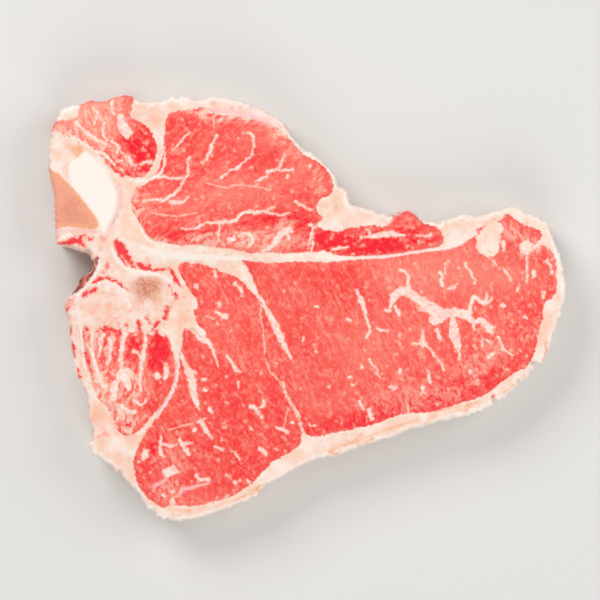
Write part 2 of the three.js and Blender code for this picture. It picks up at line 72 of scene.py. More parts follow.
# Marbling: the width at even steps along each vein, and the points it runs through
VEINS = [
    # tenderloin
    ((0.7, 0.8), [(-53.5, 63), (-51, 65.5), (-49, 67.8), (-46.5, 70.2)]),
    ((0.7, 1.1, 0.8), [(-41.8, 57.8), (-40, 59.5), (-38.8, 62), (-38, 64.5), (-37, 67), (-36, 68.7)]),
    ((0.6, 0.9, 0.8), [(-34.5, 51.5), (-32, 53.5), (-30, 55), (-28, 55.3), (-26, 57.5), (-24.5, 59),
                       (-23, 60)]),
    ((0.7, 0.9, 1.2), [(-22, 61), (-21.5, 64), (-21.3, 67), (-22.5, 69.3), (-24, 69.3)]),
    ((0.8, 1.3, 0.8, 0.5), [(-65, 42.5), (-62, 43.3), (-57.5, 43), (-54.5, 44.3), (-52, 46.3),
                            (-50.5, 48), (-49.5, 50), (-48.3, 52), (-47.3, 54.5), (-47.5, 57.5),
                            (-46.5, 60)]),
    ((0.9, 0.6), [(-55, 42.5), (-52, 42), (-49, 42.3), (-47.5, 44)]),
    ((1.7, 1.3, 0.6), [(-67.5, 48.7), (-62, 51.8), (-58, 52), (-54, 51.7), (-50, 51.5)]),
    ((0.7, 0.8, 1.3, 1.4, 0.9, 0.5), [(-50, 31.5), (-45, 31.7), (-41.5, 33.5), (-38, 34), (-34, 34.3),
                                      (-31, 34.5), (-28.5, 35), (-27, 36.5), (-25.5, 38), (-23, 38.3),
                                      (-20, 38), (-17, 38.5), (-14.5, 39.9), (-13.3, 40.3)]),
    ((0.8, 0.5), [(-17, 38), (-13, 37.5), (-10, 37), (-7, 38)]),
    ((0.8, 0.5), [(-35.2, 34), (-35, 31.5), (-35.3, 29), (-35, 27)]),
    ((0.7, 1.3, 1.0, 0.6), [(-21, 50.5), (-18.5, 51.3), (-16.3, 52.5), (-15.8, 54), (-14, 54.8),
                            (-12, 55.3), (-10.8, 56.5), (-10, 58.5), (-9.3, 61)]),
    ((0.8, 0.5), [(-13, 54.7), (-9, 54.6), (-6, 55.2)]),
    ((0.8, 0.6), [(-5, 42.5), (-3, 41), (-1, 40.3), (1.5, 39.3)]),
    ((1.4, 2.4, 2.0), [(-18, 22.5), (-15.5, 24), (-13, 26), (-11.5, 28.5), (-9, 31), (-6, 31.5)]),
    ((1.2, 1.8), [(-8, 27), (-7.5, 28.5), (-9, 30)]),
    ((1.4, 1.2), [(-27, 28.5), (-25, 30), (-22.5, 29), (-21.8, 26.5), (-23.5, 24.7)]),
    ((2.2, 2.6), [(-31.5, 27), (-29, 28)]),
    ((1.2, 0.9), [(1, 33), (3, 32.3)]),
    ((1, 0.7), [(0.6, 25), (1.6, 29)]),
    # chain
    ((0.8, 1.6, 2.8, 1.6, 0.9), [(21, 28.3), (25, 28.6), (29, 29), (33, 29.8), (36, 29), (38.5, 28.8)]),
    ((0.7, 1), [(23.5, 31.5), (25, 29.5)]),
    ((0.6, 0.6), [(43, 29), (45, 29), (48, 28.8), (49, 29.7)]),
    ((1.2, 0.7), [(9.5, 23.5), (13, 24), (16, 24.3)]),
    # loin eye: the star
    ((1.7, 3.1, 3.4, 3.4, 4.2, 5.0, 3.4, 3.7, 2.9), [(33.5, 2), (34, 4.5), (36, 6.5), (38, 7), (40, 6.3),
                                                     (43, 4.3), (46, 2.5), (49, 0.3), (52, -1.6),
                                                     (54, -2), (57, -1.3), (60, -1.8), (63, -2),
                                                     (64.5, -1)]),
    ((2.4, 3.8, 2.6), [(48.5, -4.2), (51.5, -4.8), (54, -3.2)]),
    ((1.8, 2.6), [(44.5, -0.5), (46.5, 0.2)]),
    ((0.9, 1.1, 1.6), [(36, 15.2), (38.5, 14.5), (39.8, 12.5), (39.8, 9.5), (39.5, 7.5)]),
    ((1.6, 1.4, 1.8, 0.9), [(64, -1), (65, 2.5), (65.5, 4.5), (67, 4.3), (69, 2.7), (70.5, 2), (72, 3),
                            (73, 4.5)]),
    ((0.8, 1.1), [(71, 6.5), (71, 4), (70.5, 2.4)]),
    ((2.4, 2.0, 2.2, 3.2), [(63, -3), (66, -5), (69, -4.8), (71, -6.5), (72.5, -8), (72, -9.3)]),
    ((1.2, 0.8), [(66, -5.5), (66, -8.5)]),
    ((1.6, 3.2, 4.2, 2.2, 1.2, 0.8), [(57.5, -3), (58, -7), (58.2, -10.5), (59, -13), (59.8, -15.5),
                                      (60.2, -18), (60.3, -20.5)]),
    ((1.2, 0.9), [(33.5, 4), (33, 1), (32, -1), (31, -0.5)]),
    ((1, 1.3), [(34.5, 0.5), (36, -1), (36.5, -2.8)]),
    ((0.8, 2.1, 1.1, 1, 1.4), [(19.5, 7.5), (20.3, 5), (21.5, 3), (22.3, 0.5), (23, -3), (24, -6),
                               (24.7, -9), (23.5, -10.5), (23.3, -12)]),
    ((0.7, 1), [(27.5, -7.7), (29, -8.5), (31.5, -8.8)]),
    ((0.7, 1.4, 2.6), [(45.5, -8.5), (45.7, -12), (46.3, -14.6)]),
    ((0.6, 1.1), [(41.5, -14), (46, -13.8)]),
    ((1, 0.7, 0.8), [(47, -15), (49, -16.7), (51, -19.8), (53, -22), (54, -24.5)]),
    ((1.4, 1), [(51, -8), (52, -10), (52.5, -12.5)]),
    ((1.2, 1.4), [(47.7, -24.5), (48, -27), (48.8, -29.5)]),
    ((1.4, 1.1), [(46, -31), (45, -34)]),
    ((0.8, 0.6), [(24, -20), (27, -24), (28.5, -27.5)]),
    ((1.8, 1.4), [(24, -40), (25, -42), (25.5, -44)]),
    ((1, 0.9), [(20.5, -37), (22.5, -40.3)]),
    ((1.1, 0.8), [(71.5, -19.5), (74, -17.5)]),
    ((0.7, 1.1, 0.7), [(75.5, -11), (76.5, -13.5), (77.5, -16), (79.5, -17.5), (81, -18.5)]),
    ((0.8, 0.7), [(71.5, -12.5), (72.5, -14.5)]),
    ((0.7, 0.6), [(69.5, -12), (69, -15)]),
    ((1.1, 0.8), [(84, 9), (83, 7)]),
    ((0.7, 1.1, 0.7), [(78, 15.5), (79.5, 13), (80.8, 10.8)]),
    ((0.9, 0.7), [(73.5, 19), (75, 17.5)]),
    ((0.7, 0.9, 0.6), [(62.5, 18), (64.5, 14.5), (66, 11.5), (66.3, 10)]),
    ((1.2, 1.3), [(52.5, 14), (53.5, 12.5), (52.8, 11.5), (53.7, 8.7)]),
    ((0.9, 0.8), [(54.8, 18), (54.5, 14)]),
    ((0.9, 0.7), [(55.5, 8), (58, 8.3), (59.5, 10)]),
    ((1.8, 1.3), [(90, 14.8), (89.5, 12.3)]),
    ((0.8, 0.7), [(87, 20), (87, 15), (87, 10)]),
    ((1.1, 0.8), [(95, 19), (96.3, 17), (97, 14)]),
    ((1.6, 1.8), [(93.7, 6.5), (93.5, 4.5)]),
    ((1.6, 1.2), [(77.6, 27), (77.8, 23)]),
    ((0.9, 0.8), [(39.5, -38), (40, -41.5)]),
    ((2.2, 1.8, 1.1), [(93.8, 26.4), (90.5, 24.8), (88, 22.8), (86.8, 21.4)]),
    # the seam between the two parts of the loin
    ((1.2, 1.4, 2.2, 2.9, 2.6, 1.4, 0.6), [(-19.3, 5), (-17.3, 1.5), (-15.3, -2), (-13.7, -5),
                                           (-12, -8.5), (-10.8, -11.5), (-9.5, -14.5), (-8.2, -17),
                                           (-6.5, -19.7)]),
    ((0.6, 0.8, 1), [(-10, -29.5), (-8.5, -34), (-6, -38), (-4, -41.5), (-3, -45), (-2, -48), (-1, -51)]),
    # loin cap
    ((1, 1.6, 3, 3.4, 2.4, 0.8), [(-50.5, -17.5), (-49.3, -20), (-48, -23), (-47, -25.5), (-46, -28),
                                  (-45.5, -31), (-45, -34), (-44, -37), (-43, -39.8)]),
    ((1.6, 0.7), [(-46.5, -25), (-44, -25.5)]),
    ((2.4, 2.8, 1.6, 0.7, 0.5), [(-47, -7.3), (-44, -9.5), (-41.5, -12), (-39.5, -13), (-38, -15),
                                 (-37, -17.5), (-36.3, -20), (-35.5, -22.5)]),
    ((0.7, 1.3, 0.7), [(-32.3, -18.5), (-30.5, -20.5), (-29.3, -23), (-27.8, -24.8), (-26.5, -25)]),
    ((0.9, 0.8), [(-27.5, -29), (-27.3, -31)]),
    ((1.1, 1.1), [(-41.5, -28), (-40, -28.3)]),
    ((0.7, 1.3), [(-37, 15), (-36.5, 12.5)]),
    ((1.2, 2), [(-36.2, -1.2), (-34, -2.3), (-31.8, -3.3)]),
    ((1.1, 0.6), [(-29, 10), (-27, 8), (-26, 6.5)]),
    ((3.4, 3.6), [(-56.6, -65.8), (-53.2, -64)]),
    ((1.5, 1.1), [(-53.5, -62.6), (-51.7, -64.6)]),
    ((1.2, 1.5), [(-51, -52), (-49.5, -54), (-48, -56), (-47, -58)]),
    ((1.5, 1), [(-49, -54), (-47.5, -53.3), (-45.7, -53.3)]),
    ((0.7, 1.1, 0.8), [(-57.5, -53.5), (-55, -54.3), (-52, -54)]),
    ((0.9, 1.4, 0.8), [(-58, -51), (-58.3, -55), (-57.7, -58.5)]),
    ((2, 1.6), [(-64, -56), (-65, -59), (-63.5, -57.5)]),
    ((1.1, 1.9, 1.7, 1.1), [(-43.5, -45), (-42, -44.3), (-41.5, -46), (-40, -48.8), (-38.8, -50.4)]),
    ((1.2, 0.8), [(-42, -44.3), (-40.5, -43.5)]),
    ((1.3, 0.8), [(-39, -39.5), (-38, -41)]),
    ((0.8, 1.3, 0.8), [(-44, -66), (-42.5, -67.8), (-39, -67.5)]),
    ((1.4, 1.6, 1), [(-22.8, -38.7), (-20.5, -39.5), (-19.5, -41.7)]),
    ((1, 0.7), [(-20, -39.5), (-17, -38), (-17.5, -36)]),
    ((0.9, 1.6, 0.9), [(-12.3, -47), (-10, -48), (-7.5, -49)]),
    ((1.5, 1.2), [(-19, -55.5), (-17, -57), (-16.7, -58.3)]),
    ((0.7, 1.1), [(-29.5, -56.5), (-28, -58), (-27, -59.5)]),
    ((0.9, 0.7), [(-36.5, -55), (-33.5, -56)]),
    ((1.3, 1.2), [(-29, -68), (-28.5, -69.5)]),
    ((1, 1), [(-24, -67.5), (-22.5, -69)]),
    ((1.6, 2.4), [(-53.8, -75.8), (-53.2, -78.8)]),
    # chine muscle: sheets of fat between its bundles
    ((1.1, 1.4, 1.2, 0.8), [(-64.5, -8.5), (-64.3, -14), (-65, -18), (-66, -24), (-66.3, -30), (-66, -33)]),
    ((2.4, 1.8, 2, 2.6, 3), [(-72.5, -9.5), (-73.3, -14), (-74, -20), (-74, -26), (-76.5, -31), (-77, -36)]),
    ((1.6, 1, 1.4), [(-78.5, -12), (-78, -17), (-79.3, -22)]),
    ((1.2, 1.4, 1.8, 2), [(-85, -8), (-85.5, -14), (-85, -20), (-83, -26), (-80.5, -31)]),
    ((2.6, 2, 3), [(-90, -8.5), (-89.3, -20), (-86.8, -29)]),
    ((1.4, 1), [(-80.5, -10.5), (-82.5, -13), (-82, -16), (-83, -19)]),
    ((1.2, 0.8), [(-69.5, -16.5), (-67, -17.5), (-66, -20)]),
    ((2, 3, 2), [(-71, -24), (-72, -28), (-70.5, -32)]),
    ((1.4, 1.8, 1.2), [(-56.3, -21.5), (-55.8, -25), (-56.6, -28)]),
    ((2.4, 2.2), [(-60.3, -26.6), (-58.6, -27)]),
    ((1, 1.5), [(-74, -38), (-71, -41), (-68, -40.5)]),
    ((1, 0.9), [(-69, -36), (-66, -38), (-64, -36)]),
    # skirt muscle
    ((2.2, 3, 4.5, 4), [(-74, 77), (-73.8, 74), (-72.5, 71), (-70.5, 68.8)]),
    ((1.3, 0.9, 1.2), [(-92, 74), (-88.5, 70.5), (-84, 67.5), (-79.5, 65)]),
    ((1.0, 0.8), [(-80.5, 74), (-81, 70), (-79.5, 66.5)]),
    ((0.9, 0.7), [(-85, 80), (-83.5, 77), (-84.5, 73)]),
    ((1, 0.8), [(-77, 83), (-77.5, 79.5), (-76.5, 76.5)]),
    ((1.2, 0.9, 1.1), [(-77.5, 66.5), (-75, 64), (-75.5, 61.5)]),
    ((1.0, 0.8), [(-79.5, 60.5), (-76.5, 58.5), (-73.5, 58.8)]),
    ((1.2, 1.4), [(-75.5, 56), (-72.8, 54.6)]),
    ((1, 0.9), [(-66.5, 57), (-63.5, 58), (-61.3, 57.6)]),
    ((1.1, 1), [(-71, 60), (-69.5, 57.5), (-68, 56.5)]),
]

# Blobs of fat: where each is and how wide
FAT_SPOTS = [
    (34.5, -31.5, 2.2), (32.9, -31, 1.6), (36.5, -25, 2), (64.5, -25, 1.5), (66.5, -15, 1.5),
    (86.5, -3, 1.6), (77.5, 1.3, 2.2), (3.5, 0.8, 1.5), (-1.5, -12, 1.5), (16.5, -4.5, 2.3),
    (17, -27, 1.5), (8.5, -31, 1.4), (21.5, -23, 1.3), (18, -30.5, 1.3), (-40.5, -32, 1.8),
    (-44, 8.8, 1.7), (-35, 1.5, 2.2), (-67, -60.5, 1.6), (-44.7, -48.3, 1.9), (-53.5, -72.5, 1.7),
    (-57, -74, 1.5), (-18.5, -43, 1.3), (-6, -45.5, 1.4), (-22.5, -47.5, 1.1), (-27, -68, 1.3),
    (-32, -74.3, 1.4), (1, -46, 1.2), (2.5, -46.5, 1.2), (1, 56.5, 1), (-8, 52, 1), (-38, -51, 1),
]

# Thin pinkish-white sheets that show as fine lines
SINEWS = [
    ((0.5, 0.6), [(-37, 71.5), (-37.3, 75)]),
    ((0.6, 0.5, 0.6), [(-19, 0), (-18.5, -4), (-17.5, -10), (-17, -14), (-16.8, -19), (-15.5, -23),
                       (-14.5, -25.5), (-10, -29.5)]),
    ((0.6, 1, 0.8), [(-55, -48.5), (-52, -47.2), (-48.5, -46), (-45, -45.7)]),
    ((1, 0.9), [(-61, -70.5), (-58, -69), (-56.3, -67.7)]),
    ((1.4, 1.6, 1.1, 0.6), [(-50.5, -73.2), (-49.5, -71.5), (-46, -71), (-42.5, -70), (-39, -69)]),
    ((0.9, 0.8), [(-53, -75), (-51, -73.5)]),
    ((0.5, 0.7, 0.5), [(-8, -39), (-8.5, -43), (-9.3, -47)]),
    ((0.6, 0.9), [(81, -5), (84, -7), (87, -8), (91, -9)]),
    ((1.2, 1.8, 1.4), [(-46, 27), (-42, 28.5), (-38, 30)]),
    ((0.9, 0.7), [(-40, -3), (-37, -4)]),
    ((1.4, 1, 1.2, 1.4, 1.5), [(-52.3, -19.5), (-51.9, -23), (-52.2, -27), (-53.4, -31.5), (-56.2, -36.5),
                               (-60.5, -42.5), (-64.5, -48), (-66, -51)]),
    ((0.7, 0.9, 0.6), [(-40, 50), (-33, 48), (-25, 49), (-15, 47)]),
    ((0.6, 0.7), [(-62, 38), (-52, 36.5), (-44, 38)]),
]

# Blood-red streaks and spots, on the fat and the bone
BLOOD = [
    ((1.4, 2.0, 1.2), [(-82.8, -8.6), (-79.6, -8.0), (-76.6, -8.9)]),
    ((1.0, 1.3, 0.8), [(-74.9, -6.6), (-74.4, -8.8), (-74.9, -11.4)]),
    ((0.8, 1.0), [(-71.8, -6.4), (-71.2, -7.8)]),
    ((0.9, 1.2, 0.7), [(-67.4, -4.2), (-66.4, -6.6), (-66.8, -8.8)]),
    ((0.8, 0.6), [(-88.4, -6.8), (-87.2, -8.4)]),
    ((0.8, 0.7), [(-63.6, -3.6), (-62.6, -5.8)]),
    ((2.6, 4.2, 4.4, 2.6), [(-75.6, 26.4), (-74.6, 24.4), (-73.2, 22.6), (-71.4, 20.2)]),
    ((1.4, 1.6, 0.8), [(-74.4, 21.2), (-73, 18.6), (-72.2, 17)]),
    ((1.6, 0.8), [(-71, 19.4), (-69, 16.9), (-67.5, 15.4)]),
    ((0.8, 0.9), [(-71.5, 18.5), (-69, 17.2)]),
    ((1.8, 2.2, 0.8, 0.7, 0.8), [(-67.2, 17.2), (-65.2, 16.4), (-62, 15.3), (-58, 15.5), (-55, 15.8),
                                 (-53.3, 14.5)]),
    ((1.0, 1.8, 1.2), [(-53.6, 14), (-52, 11.5), (-50.8, 9.3)]),
    ((1.2, 1.0), [(-54, 9.3), (-53, 6.8), (-52.2, 4.4)]),
    ((1.6, 1.8, 1.0), [(-55.4, 0.6), (-56, -1.5), (-56.6, -4)]),
    ((1.2, 0.8), [(-59, -5.5), (-61, -8)]),
    ((1.6, 1.9, 1.0), [(-88.6, 5.4), (-86.4, 6.6), (-84, 7.6)]),
    ((1.6, 1.0), [(-94.2, 3.8), (-92.4, 4.8)]),
    ((1.3, 0.8), [(-96, -1), (-94.5, 0.6)]),
    ((1.6, 1.8, 0.8), [(-84.6, 9.8), (-83, 11.6), (-80.6, 12)]),
    ((0.6, 0.9, 0.7), [(-80.2, 12.4), (-76, 10.6), (-71.6, 7.4)]),
    ((0.9, 0.9), [(-79.6, 17), (-79.2, 16.4)]),
    ((0.7, 0.7), [(-81.2, 14.4), (-80.6, 14)]),
    ((1.2, 2.6, 3.0, 1.6), [(-98.6, 25.8), (-94.6, 26), (-91.8, 26.8), (-88.6, 25)]),
    ((1.2, 1.5, 0.8), [(-91, 28), (-88.4, 29), (-86, 27.4)]),
    ((1.0, 1.4, 0.8), [(-89, -8.9), (-88.6, -10.6), (-88.3, -12.5)]),
    ((0.8, 1.3, 0.9, 0.5), [(-88.2, -18), (-87, -20.6), (-85.9, -23.6), (-85.5, -26.5)]),
    ((1.2, 1.6, 0.8), [(-93.4, -13.5), (-92.9, -16), (-92.6, -18.6)]),
    ((0.9, 1.1), [(-94.8, -8), (-94.2, -10.4)]),
    ((0.8, 0.7), [(-91.4, -24), (-90.4, -27)]),
    ((0.9, 0.8), [(-79.6, 58.2), (-79, 57.8)]),
    ((1.0, 0.9), [(-77.6, 56.6), (-77, 56)]),
    ((1.1, 0.9), [(-76, 54.6), (-75.2, 54.2)]),
    ((1.2, 1.0), [(-73.8, 52.8), (-72.8, 52.4)]),
    ((1.0, 1.2), [(-78.4, 60.4), (-77.4, 59.6)]),
    ((0.9, 0.8), [(-74, 56.8), (-73.4, 56.2)]),
    ((0.8, 0.7), [(67.3, 30), (69.5, 32.2)]),
    ((0.7, 0.6), [(82, -5.6), (86, -7.9), (91, -9.3)]),
    ((1.6, 1.2), [(-16.4, -19.1), (-16, -19.7)]),
    ((0.9, 0.8), [(-72, -46.6), (-70, -45.6)]),
    ((0.8, 0.8), [(-66, 16.8), (-62.5, 17.1)]),
    ((0.6, 0.5), [(74, -34.4), (73.7, -35.2)]),
    ((0.8, 1.2, 0.8), [(-73.5, 56.5), (-71.5, 54), (-69.5, 52.4)]),
    ((0.9, 1.0, 0.7), [(-78, 60), (-76, 58), (-75, 55.6)]),
]

# The torn edge in the notch of the backbone, its dark red painted shade
TORN_AND_SHADE = [
    ((3.0, 4.6, 4.0, 2.0), [(-91.8, 7.6), (-90, 10.2), (-87.4, 12.8), (-85, 15)]),
    ((1.6, 2.2, 1.4), [(-84.9, 15.2), (-84.2, 18), (-83.4, 20)]),
]

# Deep red flesh: centre, half-widths, turn in degrees and strength
DEEP = [
    (60, -32, 22, 6, 16, 0.75), (30, -43, 20, 5, 8, 0.7), (4, -47, 9, 4, 0, 0.5),
    (76, -24, 8, 5, 35, 0.6), (-60, -56, 4, 6, 0, 0.6), (-76, -16, 4, 6, 0, 0.7),
    (-84, -12, 3, 5, 0, 0.7), (-68, -14, 3, 6, 0, 0.7), (-59, -19, 4, 9, 5, 1.4),
    (-72, -30, 4, 6, 0, 0.5), (-60, 25.5, 8, 2, -14, 0.8), (-68, 36, 3, 8, 20, 0.5),
    (-66, 58, 8, 5, 0, 0.9), (-26, 58, 10, 2.5, 40, 0.5), (-11, 36.4, 11, 2.2, 8, 1.1),
    (-65, 61, 7.5, 7, 20, 1.2), (-70, 66, 5, 5, 0, 0.85), (-64, 69, 4, 5, 0, 0.9),
    (-73, 57.5, 4, 2.6, -20, 0.75), (-62, 55.5, 6, 4.5, 10, 1.0), (-69, 53.6, 5, 2.4, -25, 0.9),
    (-59.6, 63, 2.6, 6, 0, 0.8), (8, 27.5, 6.5, 3.4, -8, 1.0), (17, 27, 10, 3.8, 3, 1.0),
    (30, 24.3, 14, 2.6, 4, 0.85), (38, 30, 6, 2, 0, 0.6), (44, 26, 7, 1.6, 6, 0.4),
    (-4, 47, 9, 4, -10, 0.35), (-16, 60, 9, 4.5, 20, 0.45), (-28, 62, 3, 2.5, 0, 0.4),
    (-47, 73.5, 8, 3, 6, 0.45), (-2, 34, 6, 3.4, 0, 0.95), (-22, 35, 9, 1.8, 4, 0.55),
    (-50, 29.5, 12, 2, -3, 0.5), (0, 27, 2.5, 3.5, 0, 0.7), (-58, -18, 3, 5.5, 10, 0.85),
    (-58.5, -29.5, 3.5, 4, 0, 0.55), (-74.5, -9.5, 5, 2, 0, 0.9), (-69, -13, 3, 3.5, 0, 0.6),
    (-80, -21, 2, 4, 15, 0.6), (-69.5, -18, 3, 6, 0, 0.8), (-78, -14, 4, 4, 0, 1.0),
    (-82, -10.5, 3.5, 1.4, 0, 0.6), (-62, -37, 3, 4, 20, 0.35), (70, -28, 12, 4.5, 22, 0.45),
    (52, -34, 14, 4.5, 8, 0.5), (30, -40, 14, 4, 6, 0.45), (12, -44, 9, 3.5, 5, 0.4),
    (80, -21, 6, 4, 35, 0.35), (64, -21, 5, 4, 0, 0.3), (-40, -70, 12, 4, -5, 0.3),
    (-62, -58, 5, 4, 0, 0.35), (8, 14, 11, 3, 0, 0.25), (-17, -8, 2, 8, -4, 0.3), (-24, 13, 3, 4, 0, 0.3),
    (92, 20, 3, 3, 0, 0.3),
]

# Pale, pinker flesh with fat worked through it
PALE = [
    (-88.2, -13.5, 1.8, 6, 0, 1.3), (-85.6, -19, 1.2, 6, 14, 1.0), (-84.6, -11, 1.0, 3, 0, 0.9),
    (-86, -9.2, 2, 1.6, 0, 1.8), (-72.8, -9.4, 1.4, 2.0, 10, 1.7), (-68.6, -8.8, 1.8, 1.2, 0, 1.7),
    (-76.6, -11.5, 0.9, 2.4, 8, 1.5), (-63, -8.6, 2.4, 1.1, -12, 1.7), (-81, -13, 0.9, 2.6, -12, 1.3),
    (-57, -9.4, 2, 1.4, -30, 1.6), (-82.5, -31, 6.5, 5, -50, 1.45), (-78, -38, 6, 4, -45, 1.45),
    (-74, -43.5, 4, 3, -40, 1.2), (-90, -20, 2.2, 10, 8, 1.5), (-71, -27, 3, 4, 0, 1.0),
    (-73, -46, 5, 3, -30, 1.2), (-67.5, 40, 2.6, 9, 18, 0.6), (-58, 26, 9, 2.5, -12, 0.5),
    (-81, -14, 8, 7, 0, 0.55), (-78, -27, 9, 8, 25, 0.6), (-68, -30, 5, 9, 0, 0.55),
    (-73, 60, 6, 3.4, -40, 0.6), (-66, 53.5, 7, 1.4, 10, 0.35), (-58, 66, 1.4, 6, 0, 0.3),
    (-38, 26, 14, 3.5, -4, 0.45), (-9, 33, 6, 3, 30, 0.4), (-12, 68, 3, 8, 40, 0.3),
    (4, 50, 3, 8, 0, 0.4), (-32, 76.5, 16, 2.6, -5, 0.75), (-10, 71, 12, 3, -42, 0.65),
    (70, -20, 14, 5, 25, 0.28), (40, -36, 22, 6, 8, 0.25), (-53, -60, 6, 8, 0, 0.28),
    (-84, 75, 8, 7, 0, 0.55), (-92, 69, 8, 4, -22, 0.75), (-83, 64, 9, 3.4, -32, 0.8),
    (-77, 79, 8, 6, 0, 0.35), (-100, 66, 5, 4, 0, 0.7), (-20, 27, 14, 4, -2, 0.55),
    (-4, 26.5, 5, 3, 0, 0.3), (-83, -24, 5, 8, 20, 0.4), (-72, -34, 5, 6, 10, 0.5),
    (-71, -44, 5, 4, 0, 0.5), (82, 30, 8, 4, -20, 0.4), (87.4, 24.4, 5.5, 4.2, 0, 0.95),
    (-56, -72, 6, 5, 0, 0.35), (-34, 75.5, 12, 2.4, -6, 0.35), (40, 12, 20, 5, 0, 0.12),
    (-63, 40, 5, 5, 0, 0.2), (-86, -14, 4, 6, 0, 0.3), (-60, -27, 2, 2, 0, 0.5),
    (24, 30, 7, 1.6, 3, 0.25), (-6, 61, 7, 3, -30, 0.15),
]

# Broad differences of tone in the lean: paler where the strength is above zero, deeper below
TONE = [
    (-84, 74, 14, 11, 0, 0.85), (24, 26.5, 24, 5, 3, -1.1), (-58.5, -16, 4, 8, 0, -0.7),
    (55, 13, 36, 11, -4, 0.50), (30, -10, 34, 14, 0, 0.22), (82, 0, 12, 18, 0, -0.12),
    (-22, 47, 26, 6, 8, 0.55), (-44, 43, 12, 6, 30, 0.3), (-14, 69, 20, 9, -38, 0.3),
    (-2, 56, 8, 12, 0, 0.1), (-38, 30, 18, 4, 0, -0.35), (-52, 66, 8, 9, 0, -0.25),
    (-38, 60, 14, 5, 30, -0.2), (-31, -42, 10, 26, 12, -0.45), (-10, -42, 7, 20, 0, -0.35),
    (-20, -64, 16, 9, 15, -0.4), (-48, -12, 6, 12, 0, -0.3), (-32, -12, 10, 16, 0, 0.15),
    (34, -46, 40, 8, 10, -0.35), (74, -12, 7, 12, 0, 0.2), (14, 10, 14, 8, 0, -0.25),
    (-60, -66, 10, 10, 0, -0.3), (93, -20, 5, 9, 0, -0.2), (20, -24, 16, 10, 0, 0.2),
    (66, 16, 34, 9, 0, 0.22), (18, 27.5, 20, 5, 0, -0.5), (-70, 60, 10, 8, 0, -0.3),
    (-46, -55, 14, 12, 0, -0.3),
]

# Pink flush over the bone and the fat
ROSE = [
    (-43, -78, 13, 3, 6, 0.45), (-69, 7, 5, 4, 0, 0.5), (-62, 8, 4, 3.4, 0, 0.4),
    (20, -52.4, 12, 2, 18, 0.25), (-72, -48.5, 5, 4, -30, 0.9), (-79, -44, 4, 3, 20, 0.5),
    (-80, 0, 11, 7, 0, 0.42), (-64, 5, 10, 8, 0, 0.38), (-84, 12, 6, 5, 40, 0.5),
    (-79, 14.5, 3, 5, 20, 0.45), (-92, 28, 6, 3.4, 0, 0.75), (-76, 4, 1.4, 6, 20, 0.5),
    (-69.5, 3, 1.2, 6, -10, 0.6), (-95, -3, 3, 6, 0, 0.5), (-81, 22, 4, 3, 0, 0.35),
    (-95, 2, 4, 5, 0, 0.75), (-98, 29, 5, 2.4, 0, 0.5), (-88, 30.5, 7, 1.6, -4, 0.5),
    (-82, 27.5, 4, 2.5, 0, 0.55), (-78, -4, 4, 3, 20, 0.6), (-73, -5.6, 3, 1.6, 0, 0.6),
    (-62, 2.6, 4, 3.4, 0, 0.5), (-58.5, -4.5, 3, 3, 0, 0.7), (-86, 1, 6, 4, 0, 0.3),
    (-74, 3, 7, 5, 0, 0.35), (-56, 8, 2.4, 6, 10, 0.45), (-73, 20, 5, 7, 30, 0.4),
    (-86, 19.5, 4, 5, 0, 0.4), (-63, 19, 6, 2, 0, 0.25), (-93, -10, 3.5, 14, 8, 0.45),
    (-91, -32, 5, 10, 20, 0.55), (-84, -46, 6, 8, 30, 0.7), (-66, -72, 8, 5, -40, 0.4),
    (-60, 36, 5, 4, 0, 0.35), (-66, 44, 3, 6, 0, 0.35), (-69, 55, 2, 4, 30, 0.4),
    (-30, 79, 16, 3, -6, 0.5), (-12, 74, 8, 3, -30, 0.5), (-48, 80, 8, 2, 0, 0.2), (2, 42, 4, 4, 0, 0.3),
    (-30, 19, 16, 2, -4, 0.2), (-48, 2, 4, 8, 0, 0.35), (-50, -12, 2.5, 6, 0, 0.4),
    (30, -55, 22, 3, 14, 0.25), (-18, -76, 14, 3, 22, 0.35), (-72, -62, 5, 9, 30, 0.3),
    (95, 8, 2.5, 8, 0, 0.3), (83, 32, 8, 3, -20, 0.35), (-53, 30, 4, 2, 0, 0.3), (-92, 60, 3, 4, 0, 0.25),
    (-62, 78, 4, 5, 0, 0.25),
]

# Bright membranes that run over lean, fat and bone alike
MEMBRANES = [
    ((0.7, 1.1, 0.9, 0.7, 0.5), [(-10, 20.5), (0, 21.5), (5, 20.5), (10, 19.6), (20, 20.1), (30, 20.5),
                                 (36, 21.1), (42, 22.4), (50, 23.2), (56, 24), (60, 25.5), (65, 28.5),
                                 (67, 29.8)]),
    ((0.5, 0.8, 0.7), [(2.6, 33.2), (1.6, 29.5), (2.2, 26), (1.4, 22.6)]),
    ((0.9, 1.1, 0.8), [(-85, 9), (-80, 11), (-76, 9.5), (-72, 6.5), (-71, 3), (-70.5, 0)]),
    ((0.9, 1.3, 1.2, 0.9), [(-95.7, 3.8), (-91.6, 5.6), (-88, 8.2), (-84.4, 13.2), (-82.2, 17.5)]),
    ((1.1, 1.6, 1.2, 0.9), [(-77.5, 23.5), (-75, 18.5), (-71, 15.1), (-65, 14.2), (-58.5, 13.4),
                            (-54.3, 11), (-53, 7)]),
    ((1.2, 1.5, 0.8), [(-98.5, 27.2), (-96, 29), (-93, 29.3)]),
    ((0.9, 1.0, 0.8), [(-51.4, -19), (-51.2, -23), (-51.6, -27), (-52.8, -31.5), (-55.6, -37), (-59.6, -43)]),
    ((0.8, 0.7), [(-93, 68), (-86, 63.6), (-80, 60.5), (-76.5, 57)]),
    ((0.9, 1.1, 0.7), [(-70, 51), (-64, 50.4), (-58, 53.5), (-56.5, 58), (-57, 64)]),
    ((1.4, 3.0, 2.8, 1.6, 1.0), [(-66, 24.4), (-58, 21.6), (-48, 20.6), (-36, 20.2), (-22, 19.6)]),
    ((0.8, 0.8), [(-66.5, 33), (-63.5, 27.5), (-58, 23.8), (-50, 22.2)]),
    ((0.7, 0.6), [(-90, -6.5), (-89.4, -14), (-88.4, -22), (-86, -30), (-83.5, -36)]),
]

